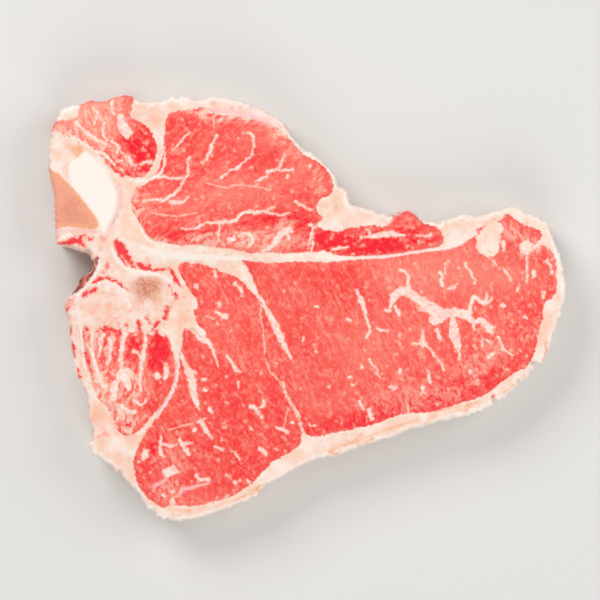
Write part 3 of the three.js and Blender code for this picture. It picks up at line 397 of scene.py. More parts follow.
# Lilac sheen along the sheets that catch the light
LILAC = [
    ((1.2, 1.5, 1.2), [(-74.4, 49), (-73.5, 43), (-75, 38.5), (-79, 31.2)]),
    ((1, 1), [(-103, 31.4), (-95, 31.2), (-87, 30.6)]),
    ((1.4, 1.6, 1.1, 0.6), [(-50.5, -73.2), (-49.5, -71.5), (-46, -71), (-42.5, -70), (-39, -69)]),
    ((1.2, 1), [(-61, -70.5), (-58, -69), (-56.3, -67.7)]),
    ((1.6, 2.2, 1.6), [(-38, 78.5), (-30, 78), (-22, 76.2), (-15, 72.8)]),
    ((0.9, 0.8), [(-74, 74), (-66.5, 77.5), (-62, 76)]),
]

# A dull brownish patch of spongy bone
DULL = [
    (-63.4, 8.4, 6.4, 4.8, 0, 1.15), (-66, 6, 3, 3.4, 0, 0.6), (-60.5, 6, 2.6, 3, 0, 0.6),
    (-94, 39, 5, 5, 0, 0.5), (-90, 36, 4, 3, 0, 0.35),
]

# Amber and pinkish stains on the fat and bone
STAINS = [
    (10.5, -56.5, 2.6, 0.9, -20, 0.8), (18, -52.5, 5, 1.3, 18, 0.55), (62, -39.6, 5, 1.2, 18, 0.9),
    (50, -43.6, 6, 1.0, 16, 0.5), (-20.5, -71.5, 4, 0.8, 20, 1.0), (-66, 80, 3.5, 1.8, 10, 0.5),
    (-60, 77, 3.5, 5, 0, 0.4), (-83, -53, 3.5, 3, 30, 0.35), (-55.5, 21.5, 1.6, 0.8, 30, 0.9),
    (12, 40, 2, 2, 0, 0.7), (9, 43.5, 4, 3, 0, 0.4), (-91.5, 62.5, 1.8, 4, -12, 0.9),
    (-95, 63.5, 3, 1.2, 0, 0.35), (-82.3, 6.3, 1.6, 1.2, 0, 0.9), (-79.5, 17, 1.8, 2.2, 0, 0.6),
    (-76, 20, 2.5, 4, 20, 0.35), (-79, 1, 1.6, 1.6, 0, 0.35), (-78.5, -3.5, 1.8, 2.4, 0, 0.4),
    (-67, 3, 3, 3, 0, 0.3), (-60, 4, 2.5, 4, 0, 0.35), (-72, -2, 2, 2, 0, 0.3), (-71, 8, 3, 4, 0, 0.25),
    (-84, -40, 5, 6, 20, 0.3), (-48, 5, 2, 6, 0, 0.25), (-50, -4, 3, 4, 0, 0.3), (30, -54, 6, 1, 16, 0.3),
    (92, -14, 1.4, 5, -16, 0.3), (-60, 48, 4, 2, 20, 0.2), (-70, 47, 2, 6, 10, 0.3),
    (-24, 16, 2, 3, 0, 0.3), (22, 37, 6, 2, -12, 0.2), (-49, -82, 8, 1, 3, 0.2),
]

# Amber lines along the rind, where the fat was trimmed twice
AMBER = [
    ((0.6, 1.0, 0.7, 0.9, 0.6), [(9.5, -56.2), (15.5, -53.8), (21.8, -51.6), (31.1, -48.1), (43.9, -43.9)]),
    ((0.8, 1.2, 0.8), [(20, -54), (22.6, -52.9), (26, -51.6)]),
    ((0.6, 0.9, 1.1, 0.8), [(-30.7, -77.0), (-26.5, -75), (-23, -73.6), (-18.4, -72.2)]),
    ((0.6, 0.9, 0.7), [(50.9, -40.9), (60, -38.9), (68.4, -36.9)]),
    ((0.7, 1.0, 0.6), [(94.4, -13.5), (95, -17.5), (93.4, -21)]),
    ((0.5, 0.8, 0.5), [(78, -33.4), (82.5, -29.8), (86.5, -26.4)]),
    ((0.5, 0.8, 0.6), [(-60.5, -77.4), (-54, -79.8), (-46.5, -80.2)]),
]

# The marrow at the heart of the bone's upper lobe, and the glossy cartilage beside it
MARROW = [
    (-106, 55), (-99.5, 53.8), (-97.5, 52.3), (-95, 49.7), (-92, 46.5), (-89, 42.8), (-86.5, 39.5),
    (-84, 36), (-83, 33.5), (-84, 31.5), (-90, 32), (-95, 32.4), (-106, 33),
]
CARTILAGE = [
    (-93.5, 60), (-88, 62.5), (-83.5, 58.8), (-79.8, 54.4), (-76.5, 48.4), (-75.4, 42.5), (-77, 36.5),
    (-79.5, 31.5), (-81.3, 30), (-82.6, 33.5), (-84.3, 37), (-87.4, 41), (-90.6, 45), (-93.6, 49.2),
    (-95, 54),
]
# The round disc of fat at the thin tail of the loin, and the marbled corner beside it
FAT_DISC = [
    (66.9, 28.8), (69, 31.5), (71.5, 33.3), (74, 34.5), (76.3, 34), (77.7, 31.8), (76.5, 29), (76.2, 25),
    (75, 21.5), (72.5, 20.5), (70.3, 20.8), (68, 22.4), (66.9, 24.6), (67.2, 26.8),
]
MARBLED_CORNER = [
    (84.8, 25.9), (86.4, 26.9), (88.6, 26.3), (89.6, 24.8), (88.4, 23.2), (87.2, 22.6), (85.6, 23),
    (84.6, 24.2),
]
# Where the tenderloin and the chain muscle meet, parted only by a membrane
BRIDGE = [(-2, 33.2), (0.5, 34.6), (3.2, 33), (6, 31), (6.4, 26), (5, 22.8), (0, 22.6), (-3, 23.4)]

# Cuts across the fat cap: where each opens, its angle in degrees, how deep it goes and how wide it gapes
SCORE_CUTS = [(92.4, -24.4, 133, 4.6, 2.6), (85.2, -31.2, 121, 3.6, 1.2), (76, -39, 128, 4.2, 2.4)]


class SteakSizes(bpy.types.PropertyGroup):
    """Sizes of the steak's detail."""

    spacing: FloatProperty(name="Point spacing", description="Distance between points on the cut faces",
                           default=0.00045, unit="LENGTH")
    thickness: FloatProperty(name="Thickness", description="Height of an even slice",
                             default=0.022, unit="LENGTH")
    shoulder: FloatProperty(name="Shoulder", description="How far from its edge a cut face starts to roll",
                            default=0.0026, unit="LENGTH")
    shoulder_drop: FloatProperty(name="Shoulder drop", description="How far a cut face falls at its edge",
                                 default=0.0017, unit="LENGTH")
    ragged: FloatProperty(name="Ragged edge", description="How far the knife wanders along the outline",
                          default=0.0011, unit="LENGTH")
    seam_depth: FloatProperty(name="Seam depth", description="How deep the seam round each muscle sinks",
                              default=0.00035, unit="LENGTH")
    fleck_size: FloatProperty(name="Fleck size", description="Half the length of a fine fleck of fat",
                              default=0.00045, unit="LENGTH")
    flecks: FloatProperty(name="Flecks", description="Flecks of fat to the square metre where they are dense",
                          default=90000.0)
    seed: IntProperty(name="Seed", description="Start of the pattern of flecks", default=11)


class SteakColours(bpy.types.PropertyGroup):
    """Colours of the steak, as scene-linear values."""

    lean: FloatVectorProperty(name="Lean", description="Bright lean meat", subtype="COLOR", size=3,
                               default=(0.92, 0.060, 0.050))
    fibre: FloatVectorProperty(name="Fibre", description="Paler sheaths of fibres", subtype="COLOR", size=3,
                               default=(0.95, 0.275, 0.20))
    deep: FloatVectorProperty(name="Deep red", description="Deepest red of the lean", subtype="COLOR", size=3,
                              default=(0.90, 0.004, 0.018))
    fat: FloatVectorProperty(name="Fat", description="Cream of the fat", subtype="COLOR", size=3,
                             default=(0.93, 0.64, 0.50))
    bone: FloatVectorProperty(name="Bone", description="White of the cartilage", subtype="COLOR", size=3,
                              default=(0.95, 0.86, 0.79))
    marrow: FloatVectorProperty(name="Marrow", description="Salmon of the marrow", subtype="COLOR", size=3,
                                default=(0.88, 0.33, 0.21))
    stain: FloatVectorProperty(name="Stain", description="Amber stain on fat", subtype="COLOR", size=3,
                               default=(0.90, 0.40, 0.19))
    dull: FloatVectorProperty(name="Dull bone", description="Dull brown of some spongy bone", subtype="COLOR",
                              size=3, default=(0.66, 0.215, 0.115))
    lilac: FloatVectorProperty(name="Sheen", description="Pinkish lilac of thin sheets", subtype="COLOR",
                               size=3, default=(0.93, 0.50, 0.56))
    # The torn edge's dark red is painted shade in the notch
    torn: FloatVectorProperty(name="Edge in painted shade", description="Dark red painted shade in the notch of the backbone", subtype="COLOR",
                              size=3, default=(0.27, 0.030, 0.014))
    floor: FloatVectorProperty(name="Floor", description="Floor under the steak", subtype="COLOR", size=3,
                               default=(0.74, 0.73, 0.71))


def sizes():
    """The sizes that are set for the scene."""
    return bpy.context.scene.steak_sizes


def colours():
    """The colours that are set for the scene."""
    return bpy.context.scene.steak_colours


# Outlines taken from the solids

def section(node, height):
    """The start and end points, in millimetres, of the edges where a level plane cuts a node."""
    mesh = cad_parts[node].data
    at = np.array([v.co for v in mesh.vertices]) / MM
    mesh.calc_loop_triangles()
    edges = []
    for tri in mesh.loop_triangles:
        corners = [tuple(at[i]) for i in tri.vertices]
        cut = []
        for a, b in zip(corners, corners[1:] + corners[:1]):
            if (a[2] < height) != (b[2] < height):
                low, high = sorted((a, b), key=lambda p: p[2])
                share = (height - low[2]) / (high[2] - low[2])
                cut.append((a[2] < height, [low[k] + share * (high[k] - low[k]) for k in (0, 1)]))
        if len(cut) == 2:
            cut.sort(key=lambda c: c[0])
            edges.append([cut[0][1], cut[1][1]])
    return np.array(edges)


def distance_to_edges(points, edges):
    """Each point's distance to the nearest edge, and whether it lies inside the closed outlines they form."""
    near = np.empty(len(points))
    inside = np.zeros(len(points), bool)
    start, along = edges[:, 0], edges[:, 1] - edges[:, 0]
    length2 = np.maximum((along ** 2).sum(1), 1e-12)
    for i in range(0, len(points), CHUNK):
        p = points[i:i + CHUNK, None, :]
        reach = p - start
        share = np.clip((reach * along).sum(2) / length2, 0, 1)
        gap = reach - share[..., None] * along
        near[i:i + CHUNK] = np.sqrt((gap ** 2).sum(2).min(1))
        above = (start[:, 1] > p[..., 1]) != (edges[:, 1, 1] > p[..., 1])
        rise = np.where(along[:, 1] == 0, 1e-12, along[:, 1])
        crosses = above & (p[..., 0] < start[:, 0] + (p[..., 1] - start[:, 1]) * along[:, 0] / rise)
        inside[i:i + CHUNK] = crosses.sum(1) % 2 == 1
    return near, inside


def signed_distance(points, edges):
    """Each point's distance to the nearest edge, above zero inside the outlines and below it outside."""
    near, inside = distance_to_edges(points, edges)
    return np.where(inside, near, -near)


def near_only(points, edges, margin):
    """Signed distance for the points within a margin of the outline's box, and a low value for the rest."""
    low, high = edges.reshape(-1, 2).min(0) - margin, edges.reshape(-1, 2).max(0) + margin
    close = ((points > low) & (points < high)).all(1)
    out = np.full(len(points), FAR_OUTSIDE)
    out[close] = signed_distance(points[close], edges)
    return out


def turns(points, edges):
    """How many times the edges run round each point, which small gaps between them hardly change."""
    out = np.empty(len(points))
    for i in range(0, len(points), CHUNK):
        p = points[i:i + CHUNK, None, :]
        a, b = edges[:, 0] - p, edges[:, 1] - p
        cross = a[..., 0] * b[..., 1] - a[..., 1] * b[..., 0]
        out[i:i + CHUNK] = np.arctan2(cross, (a * b).sum(2)).sum(1) / (2 * math.pi)
    return np.abs(out)


class Raster:
    """Values worked out once on an even grid, and read between its points."""

    def __init__(self, low, high, pitch, make):
        self.low, self.pitch = low, pitch
        self.size = np.ceil((high - low) / pitch).astype(int) + 2
        x, y = np.meshgrid(np.arange(self.size[0]), np.arange(self.size[1]))
        points = np.stack([x, y], 2).reshape(-1, 2) * pitch + low
        self.values = make(points).reshape(self.size[1], self.size[0], -1)

    def at(self, points):
        """The value at each point, blended from the four grid points round it."""
        place = np.clip((points - self.low) / self.pitch, 0, self.size - 1.001)
        i = place.astype(int)
        u, v = (place - i).T[:, :, None]
        i, j = i.T
        rows = self.values
        return ((rows[j, i] * (1 - u) + rows[j, i + 1] * u) * (1 - v)
                + (rows[j + 1, i] * (1 - u) + rows[j + 1, i + 1] * u) * v)


def wander(points, size, seed):
    """A smooth random value of about -1 to 1 at each point, for features of a size in millimetres."""
    return np.array([noise.noise(Vector((x / size, y / size, seed))) for x, y in points])


def step(low, high, value):
    """A smooth rise from 0 to 1 as a value goes from low to high."""
    t = np.clip((value - low) / (high - low), 0, 1)
    return t * t * (3 - 2 * t)


class Slice:
    """The steak's cut face as one sheet of triangles, each of which belongs to one piece."""

    # Strips of fat narrower than this, in millimetres, are closed up between two pieces
    WEB = 1.1
    # Half the gap that the solids leave between them, in millimetres
    GAP = 0.15
    # Step of the grids on which distances are worked out, in millimetres
    PITCH = 0.5
    # How far apart, in millimetres, the slope of a distance is taken
    PROBE = 0.02
    # Patches of fewer triangles than this go to the piece beside them
    CRUMB = 40
    # The owner of triangles that are dropped, and a number above every owner
    NOBODY = -1
    NONE_YET = 99

    def __init__(self, spacing):
        self.spacing = spacing
        self.edges = {name: section(name, MID_HEIGHT) for name in (*MUSCLES, BONE, *FAT)}
        self.outer_edges = self.find_outer_edges()
        low = self.outer_edges.reshape(-1, 2).min(0) - 2
        high = self.outer_edges.reshape(-1, 2).max(0) + 2
        self.field_raster = Raster(low, high, self.PITCH, self.work_out_fields)
        self.outer_raster = Raster(low, high, self.PITCH, self.work_out_outer)
        self.points, self.triangles = self.grid(low, high)
        self.fit_points()
        self.assign()

    def find_outer_edges(self):
        """The edges with nothing of the steak just outside them."""
        edges = np.concatenate(list(self.edges.values()))
        along = edges[:, 1] - edges[:, 0]
        normal = np.stack([along[:, 1], -along[:, 0]], 1) / np.maximum(np.hypot(*along.T), 1e-9)[:, None]
        middle = edges.mean(1)
        free = np.ones(len(edges), bool)
        for side in (-1, 1):
            clear = np.ones(len(edges), bool)
            for reach in (0.45, 0.8):
                for piece in self.edges.values():
                    clear &= ~distance_to_edges(middle + side * reach * normal, piece)[1]
            free = clear if side == -1 else free | clear
        return edges[free]

    def grid(self, low, high):
        """An even sheet of triangles over the steak, without those that are well outside it."""
        h = self.spacing
        rise = h * math.sqrt(3) / 2
        columns = int((high[0] - low[0]) / h) + 2
        rows = int((high[1] - low[1]) / rise) + 2
        x, y = np.meshgrid(np.arange(columns), np.arange(rows))
        points = np.stack([low[0] + h * (x + 0.5 * (y % 2)), low[1] + rise * y], 2).reshape(-1, 2)
        i = (y * columns + x)[:-1, :-1]
        odd = (y % 2 == 1)[:-1, :-1]
        a, b, c, d = i, i + 1, i + columns, i + columns + 1
        even_rows = np.stack([np.stack([a, b, c], 2)[~odd], np.stack([b, d, c], 2)[~odd]], 1).reshape(-1, 3)
        odd_rows = np.stack([np.stack([a, b, d], 2)[odd], np.stack([a, d, c], 2)[odd]], 1).reshape(-1, 3)
        triangles = np.concatenate([even_rows, odd_rows])
        inside = self.outer(points) > -2 * h
        keep = inside[triangles].all(1)
        used, triangles = np.unique(triangles[keep], return_inverse=True)
        return points[used], triangles.reshape(-1, 3)

    def work_out_outer(self, points):
        """Signed distance to the steak's outer edge, with a little raggedness."""
        shake = np.stack([wander(points, 2.1, 14.0), wander(points, 2.1, 19.0)], 1) * sizes().ragged / MM
        moved = points + shake
        near = distance_to_edges(moved, self.outer_edges)[0]
        reach = np.where(turns(moved, self.outer_edges) > 0.5, near, -near)
        for x, y, angle, depth, gape in SCORE_CUTS:
            c, s = math.cos(math.radians(angle)), math.sin(math.radians(angle))
            along = (points - (x, y)) @ (c, s)
            across = np.abs((points - (x, y)) @ (-s, c))
            clear = np.maximum(across - gape / 2 * np.clip(1 - along / depth, 0, 1), along - depth)
            reach = np.where(along > -4, np.minimum(reach, clear), reach)
        return reach

    def work_out_fields(self, points):
        """How far each point is inside each muscle and the bone, with the thin webs between them closed."""
        shift = np.stack([wander(points, 2.6, 3.3), wander(points, 2.6, 8.1)], 1) * 0.35
        moved = points + shift
        raw = np.stack([near_only(moved, self.edges[name], 6) + self.GAP for name in (*MUSCLES, BONE)], 1)
        order = np.sort(raw, 1)
        web = -(order[:, -1] + order[:, -2])
        closing = np.where(web > 0, web / 2, 0) * (1 - step(self.WEB, 2 * self.WEB, web))
        return raw + closing[:, None]

    def outer(self, points):
        """How far each point is inside the outer edge."""
        return self.outer_raster.at(points)[:, 0]

    def fields(self, points):
        """How far each point is inside each muscle and the bone."""
        return self.field_raster.at(points)

    def fit_points(self):
        """Moves the points nearest each border onto it."""
        h = self.spacing
        reach = self.outer(self.points)
        value = self.fields(self.points)
        best = value.argmax(1)
        top = value[np.arange(len(best)), best]
        border = np.abs(top) < h / 2
        rim = np.abs(reach) < h / 2
        self.pull(np.where(border & ~rim)[0], lambda p, i: self.fields(p)[np.arange(len(p)), best[i]])
        self.pull(np.where(rim)[0], lambda p, i: self.outer(p))

    def pull(self, chosen, field):
        """Moves some points, in two short steps, towards where a field is zero."""
        d = self.PROBE
        for _ in range(2):
            at = self.points[chosen]
            value = field(at, chosen)
            slope = np.stack([field(at + [d, 0], chosen) - field(at - [d, 0], chosen),
                              field(at + [0, d], chosen) - field(at - [0, d], chosen)], 1) / (2 * d)
            steep = np.maximum((slope ** 2).sum(1), 0.2)
            move = -(value / steep)[:, None] * slope
            far = np.maximum(np.hypot(*move.T) / (0.55 * self.spacing), 1)
            self.points[chosen] = at + move / far[:, None]

    def assign(self):
        """Gives each triangle to the piece that holds its middle, and keeps those inside the steak."""
        middle = self.points[self.triangles].mean(1)
        keep = self.outer(middle) > 0
        self.triangles, middle = self.triangles[keep], middle[keep]
        value = self.fields(middle)
        self.owner = np.where(value.max(1) > 0, value.argmax(1), FAT_OWNER)
        patch = near_only(middle, self.edges[FAT[1]], 3) > -self.GAP * 2
        self.owner[(self.owner == FAT_OWNER) & patch] = FAT_OWNER + 1
        self.beside = self.find_neighbours()
        for _ in range(3):
            self.absorb_crumbs()
            self.absorb_fans()
        kept = self.owner != self.NOBODY
        self.owner = self.owner[kept]
        used, triangles = np.unique(self.triangles[kept], return_inverse=True)
        self.points, self.triangles = self.points[used], triangles.reshape(-1, 3)
        self.value = self.fields(self.points)
        self.measure_rim()

    def find_neighbours(self):
        """The pairs of triangles that share a side."""
        corners = self.triangles
        sides = np.sort(np.concatenate([corners[:, pair] for pair in ([0, 1], [1, 2], [2, 0])]), 1)
        order = np.lexsort(sides.T)
        same = (sides[order[1:]] == sides[order[:-1]]).all(1)
        return np.stack([order[:-1][same], order[1:][same]], 1) % len(corners)

    def find_patches(self):
        """Which triangles hang together by their sides in one piece: each has the number of one of them."""
        patch = list(range(len(self.triangles)))

        def root(i):
            while patch[i] != i:
                patch[i] = patch[patch[i]]
                i = patch[i]
            return i

        alike = self.owner[self.beside[:, 0]] == self.owner[self.beside[:, 1]]
        for a, b in self.beside[alike].tolist():
            patch[root(a)] = root(b)
        return np.array([root(i) for i in range(len(patch))])

    def absorb_crumbs(self):
        """Gives each patch of a few triangles to the piece that it shares most sides with."""
        patch = self.find_patches()
        size = np.bincount(patch, minlength=len(patch))
        here, there = np.concatenate([self.beside, self.beside[:, ::-1]]).T
        for crumb in np.where((size > 0) & (size < self.CRUMB) & (self.owner != self.NOBODY))[0]:
            near = self.owner[there[(patch[here] == crumb) & (patch[there] != crumb)]]
            near = near[near != self.NOBODY]
            if len(near):
                self.owner[patch == crumb] = np.bincount(near).argmax()

    def fans_round(self, corner, near):
        """The triangles round a corner as fans: each has its piece, its other corners and its triangles."""
        fans = []
        for t in near:
            others, members = {c for c in self.triangles[t].tolist() if c != corner}, [t]
            joined = [fan for fan in fans if fan[0] == self.owner[t] and fan[1] & others]
            for _, more_corners, more_members in joined:
                others |= more_corners
                members += more_members
            fans = [fan for fan in fans if fan not in joined] + [(self.owner[t], others, members)]
        return fans

    def absorb_fans(self):
        """Gives each fan that meets its own piece at one point alone to the fan beside it, or drops it."""
        lowest = np.full(len(self.points), self.NONE_YET)
        highest = np.full(len(self.points), self.NOBODY)
        for corners in self.triangles.T:
            np.minimum.at(lowest, corners, self.owner)
            np.maximum.at(highest, corners, self.owner)
        mixed = (lowest != highest) | (np.bincount(self.triangles.ravel(), minlength=len(self.points)) < 6)
        around = {}
        for t in np.where(mixed[self.triangles].any(1))[0].tolist():
            for corner in self.triangles[t].tolist():
                if mixed[corner]:
                    around.setdefault(corner, []).append(t)
        for corner, near in around.items():
            fans = self.fans_round(corner, near)
            owners = [fan[0] for fan in fans]
            parted = [fan for fan in fans if owners.count(fan[0]) > 1 and fan[0] != self.NOBODY]
            if parted:
                least = min(parted, key=lambda fan: len(fan[2]))
                beside = [fan for fan in fans if fan[0] not in (least[0], self.NOBODY) and fan[1] & least[1]]
                widest = max(beside, key=lambda fan: len(fan[2]), default=(self.NOBODY,))
                self.owner[least[2]] = widest[0]

    def measure_rim(self):
        """Each point's distance to the outer edge, and which way the edge faces there."""
        sides = np.concatenate([self.triangles[:, pair] for pair in ([0, 1], [1, 2], [2, 0])])
        key = np.sort(sides, 1)
        _, first, count = np.unique(key, axis=0, return_index=True, return_counts=True)
        outer = sides[first[count == 1]]
        self.outer_sides = {tuple(s) for s in outer.tolist()}
        along = self.points[outer[:, 1]] - self.points[outer[:, 0]]
        facing = np.stack([along[:, 1], -along[:, 0]], 1)
        normal = np.zeros_like(self.points)
        for k in (0, 1):
            np.add.at(normal, outer[:, k], facing)
        ids = np.unique(outer)
        tree = kdtree.KDTree(len(ids))
        for k, i in enumerate(ids):
            tree.insert((*self.points[i], 0), k)
        tree.balance()
        self.rim = np.array([tree.find((x, y, 0))[2] for x, y in self.points])
        smooth = np.zeros_like(self.points)
        for i in ids:
            for _, k, _ in tree.find_range((*self.points[i], 0), 1.3):
                smooth[i] += normal[ids[k]]
        length = np.maximum(np.hypot(*smooth.T), 1e-9)
        self.facing = smooth / length[:, None]


def swell(x, y):
    """How far the upper cut face stands above or below an even slice, in millimetres."""
    ripple = 0.55 * np.sin((x + 12) / 27) * np.cos((y - 18) / 24)
    dimple = 0.35 * np.sin(x / 14 + y / 19)
    return ripple + dimple - 1.5 * step(25, 110, x) - 0.7 * step(40, 95, -y)


# Masks painted from the tables

def near_lines(points, lines):
    """How far each point is inside the nearest of some lines that have a width, in millimetres."""
    best = np.full(len(points), FAR_OUTSIDE)
    for widths, line in lines:
        line = np.array(line, float)
        width = np.interp(np.linspace(0, 1, len(line)), np.linspace(0, 1, len(widths)), widths) / 2
        low, high = line.min(0) - 3, line.max(0) + 3
        close = np.where(((points > low) & (points < high)).all(1))[0]
        for a, b, wa, wb in zip(line, line[1:], width, width[1:]):
            reach, along = points[close] - a, b - a
            share = np.clip(reach @ along / (along @ along), 0, 1)
            gap = np.hypot(*(reach - share[:, None] * along).T)
            best[close] = np.maximum(best[close], wa + share * (wb - wa) - gap)
    return best


def spots(points, table):
    """The strongest of some soft round patches at each point."""
    out = np.zeros(len(points))
    for x, y, long, short, turn, strength in table:
        c, s = math.cos(math.radians(turn)), math.sin(math.radians(turn))
        dx, dy = points[:, 0] - x, points[:, 1] - y
        r = np.hypot((c * dx + s * dy) / long, (c * dy - s * dx) / short)
        out = np.maximum(out, strength * (1 - step(0.35, 1.35, r)))
    return out


def soft_sum(points, table):
    """The patches' strengths added up, so that paler and deeper ones can meet."""
    return sum(np.sign(row[5]) * spots(points, [(*row[:5], abs(row[5]))]) for row in table)


def ring_field(points, corners):
    """Signed distance to a smooth closed line through some corners."""
    corners = np.array(corners, float)
    t = np.linspace(0, 1, 6, endpoint=False)[:, None]
    p0, p1, p2, p3 = (np.roll(corners, k, 0)[:, None, :] for k in (1, 0, -1, -2))
    line = (0.5 * (2 * p1 + (p2 - p0) * t + (2 * p0 - 5 * p1 + 4 * p2 - p3) * t ** 2
                   + (3 * p1 - p0 - 3 * p2 + p3) * t ** 3)).reshape(-1, 2)
    return near_only(points, np.stack([line, np.roll(line, -1, 0)], 1), 4)


def paint(sheet):
    """The masks that the materials read, one value for each point of the sheet."""
    points = sheet.points
    shaken = points + np.stack([wander(points, 1.4, 21.0), wander(points, 1.4, 34.0)], 1) * 0.45
    blurred = points + np.stack([wander(points, 4.0, 5.0), wander(points, 4.0, 9.0)], 1) * 1.6
    muscles = sheet.value[:, :len(MUSCLES)].max(1)
    muscles = np.maximum(muscles, ring_field(shaken, BRIDGE))
    disc = ring_field(shaken, FAT_DISC)
    corner = ring_field(shaken, MARBLED_CORNER)
    meat = np.minimum(muscles, -np.maximum(disc, corner))
    return {
        "meat": meat,
        "bone": sheet.value[:, BONE_OWNER],
        "deep": spots(blurred, DEEP),
        "pale": spots(blurred, PALE),
        "tone": soft_sum(blurred, TONE),
        "rose": spots(blurred, ROSE),
        "dull": spots(blurred, DULL),
        "stain": np.maximum(spots(blurred, STAINS), 0.75 * step(-0.5, 0.3, near_lines(shaken, AMBER))),
        "membrane": near_lines(shaken, MEMBRANES),
        "lilac": near_lines(shaken, LILAC),
        "blood": near_lines(shaken, BLOOD),
        # The torn edge in the notch, where its dark red is painted shade
        "torn": near_lines(shaken, TORN_AND_SHADE),
        "marrow": ring_field(shaken, MARROW),
        "cartilage": ring_field(points, CARTILAGE),
        "rim": sheet.rim,
    }


_sheet = {}


def steak_sheet():
    """The one sheet that every piece is cut from, and its masks, both made when first asked for."""
    if not _sheet:
        sheet = Slice(sizes().spacing / MM)
        _sheet["sheet"] = sheet
        _sheet["masks"] = paint(sheet)
    return _sheet["sheet"], _sheet["masks"]


def surface(sheet, pale):
    """Where each point of the sheet lies on the upper and the lower cut face, in millimetres."""
    s = sizes()
    x, y = sheet.points.T
    top_value = sheet.value.max(1)
    lean = sheet.value[:, :len(MUSCLES)].max(1)
    bone = sheet.value[:, BONE_OWNER]
    grain = wander(sheet.points, 3.2, 50.0) * 0.10 + wander(sheet.points, 1.3, 60.0) * 0.05
    level = s.thickness / MM + swell(x, y) + grain
    level += 0.14 * step(-1.2, 1.5, bone) - 0.22 * step(0.8, -1.6, top_value)
    level += 0.25 * step(0, 5, lean) * step(0.2, -0.2, bone)
    seam = np.exp(-(lean / 0.6) ** 2) * step(0.5, -0.5, bone)
    level -= s.seam_depth / MM * seam * np.clip(1 - 1.2 * pale, 0, 1)
    reach = s.shoulder / MM
    roll = np.clip(1 - sheet.rim / reach, 0, 1)
    drop = s.shoulder_drop / MM * (1 - np.sqrt(1 - (0.97 * roll) ** 2)) * 1.32
    inset = 0.55 * roll ** 3
    wave = wander(sheet.points, 2.0, 71.0) * 0.15 * (roll > 0)
    pulled = sheet.points - sheet.facing_all * (inset + wave)[:, None]
    return pulled, level - drop, 0.9 * drop


def face_direction(sheet):
    """The outward direction at every point, taken from the nearest point of the outer edge."""
    ids = np.where(np.hypot(*sheet.facing.T) > 0.5)[0]
    tree = kdtree.KDTree(len(ids))
    for k, i in enumerate(ids):
        tree.insert((*sheet.points[i], 0), k)
    tree.balance()
    sheet.edge_tree, sheet.edge_ids = tree, ids
    out = np.zeros_like(sheet.points)
    for j in np.where(sheet.rim < 4)[0]:
        out[j] = sheet.facing[ids[tree.find((*sheet.points[j], 0))[1]]]
    return out


def steady_outline(sheet):
    """The outer edge with its small steps ironed out, which the middle of the sides follows."""
    after = dict(sheet.outer_sides)
    before = {b: a for a, b in after.items()}
    ids = np.array([i for i in after if i in before])
    ahead, behind = np.array([after[i] for i in ids]), np.array([before[i] for i in ids])
    steady = sheet.points.copy()
    for _ in range(30):
        steady[ids] = 0.5 * steady[ids] + 0.25 * (steady[ahead] + steady[behind])
    return steady


def side_point(sheet, j, depth, z):
    """A point on the side below an edge point, and the edge point whose tissue shows there."""
    away = float(step(0, 0.22, min(depth, 1 - depth)))
    x, y = sheet.points[j] + (sheet.steady[j] - sheet.points[j]) * away
    bumps = noise.noise(Vector((x / 4.2, y / 4.2, z / 3.2))) * 0.8
    bumps += noise.noise(Vector((x / 1.6, y / 1.6, z / 1.3))) * 0.3
    inset = 0.55 * abs(2 * depth - 1) ** 3 + 0.2 - bumps * away
    drift = [noise.noise(Vector((x / 5, y / 5, z / 4 + seed))) * 8.0 * away for seed in (30, 60)]
    nearest = sheet.edge_tree.find((x + drift[0], y + drift[1], 0))[1]
    x, y = np.array((x, y)) - sheet.facing[j] * inset
    return (x, y, z), sheet.edge_ids[nearest]


def store(mesh, name, values):
    """Keeps one number for each point of a mesh under a name."""
    mesh.attributes.new(name, "FLOAT", "POINT").data.foreach_set("value", values.astype(np.float32))


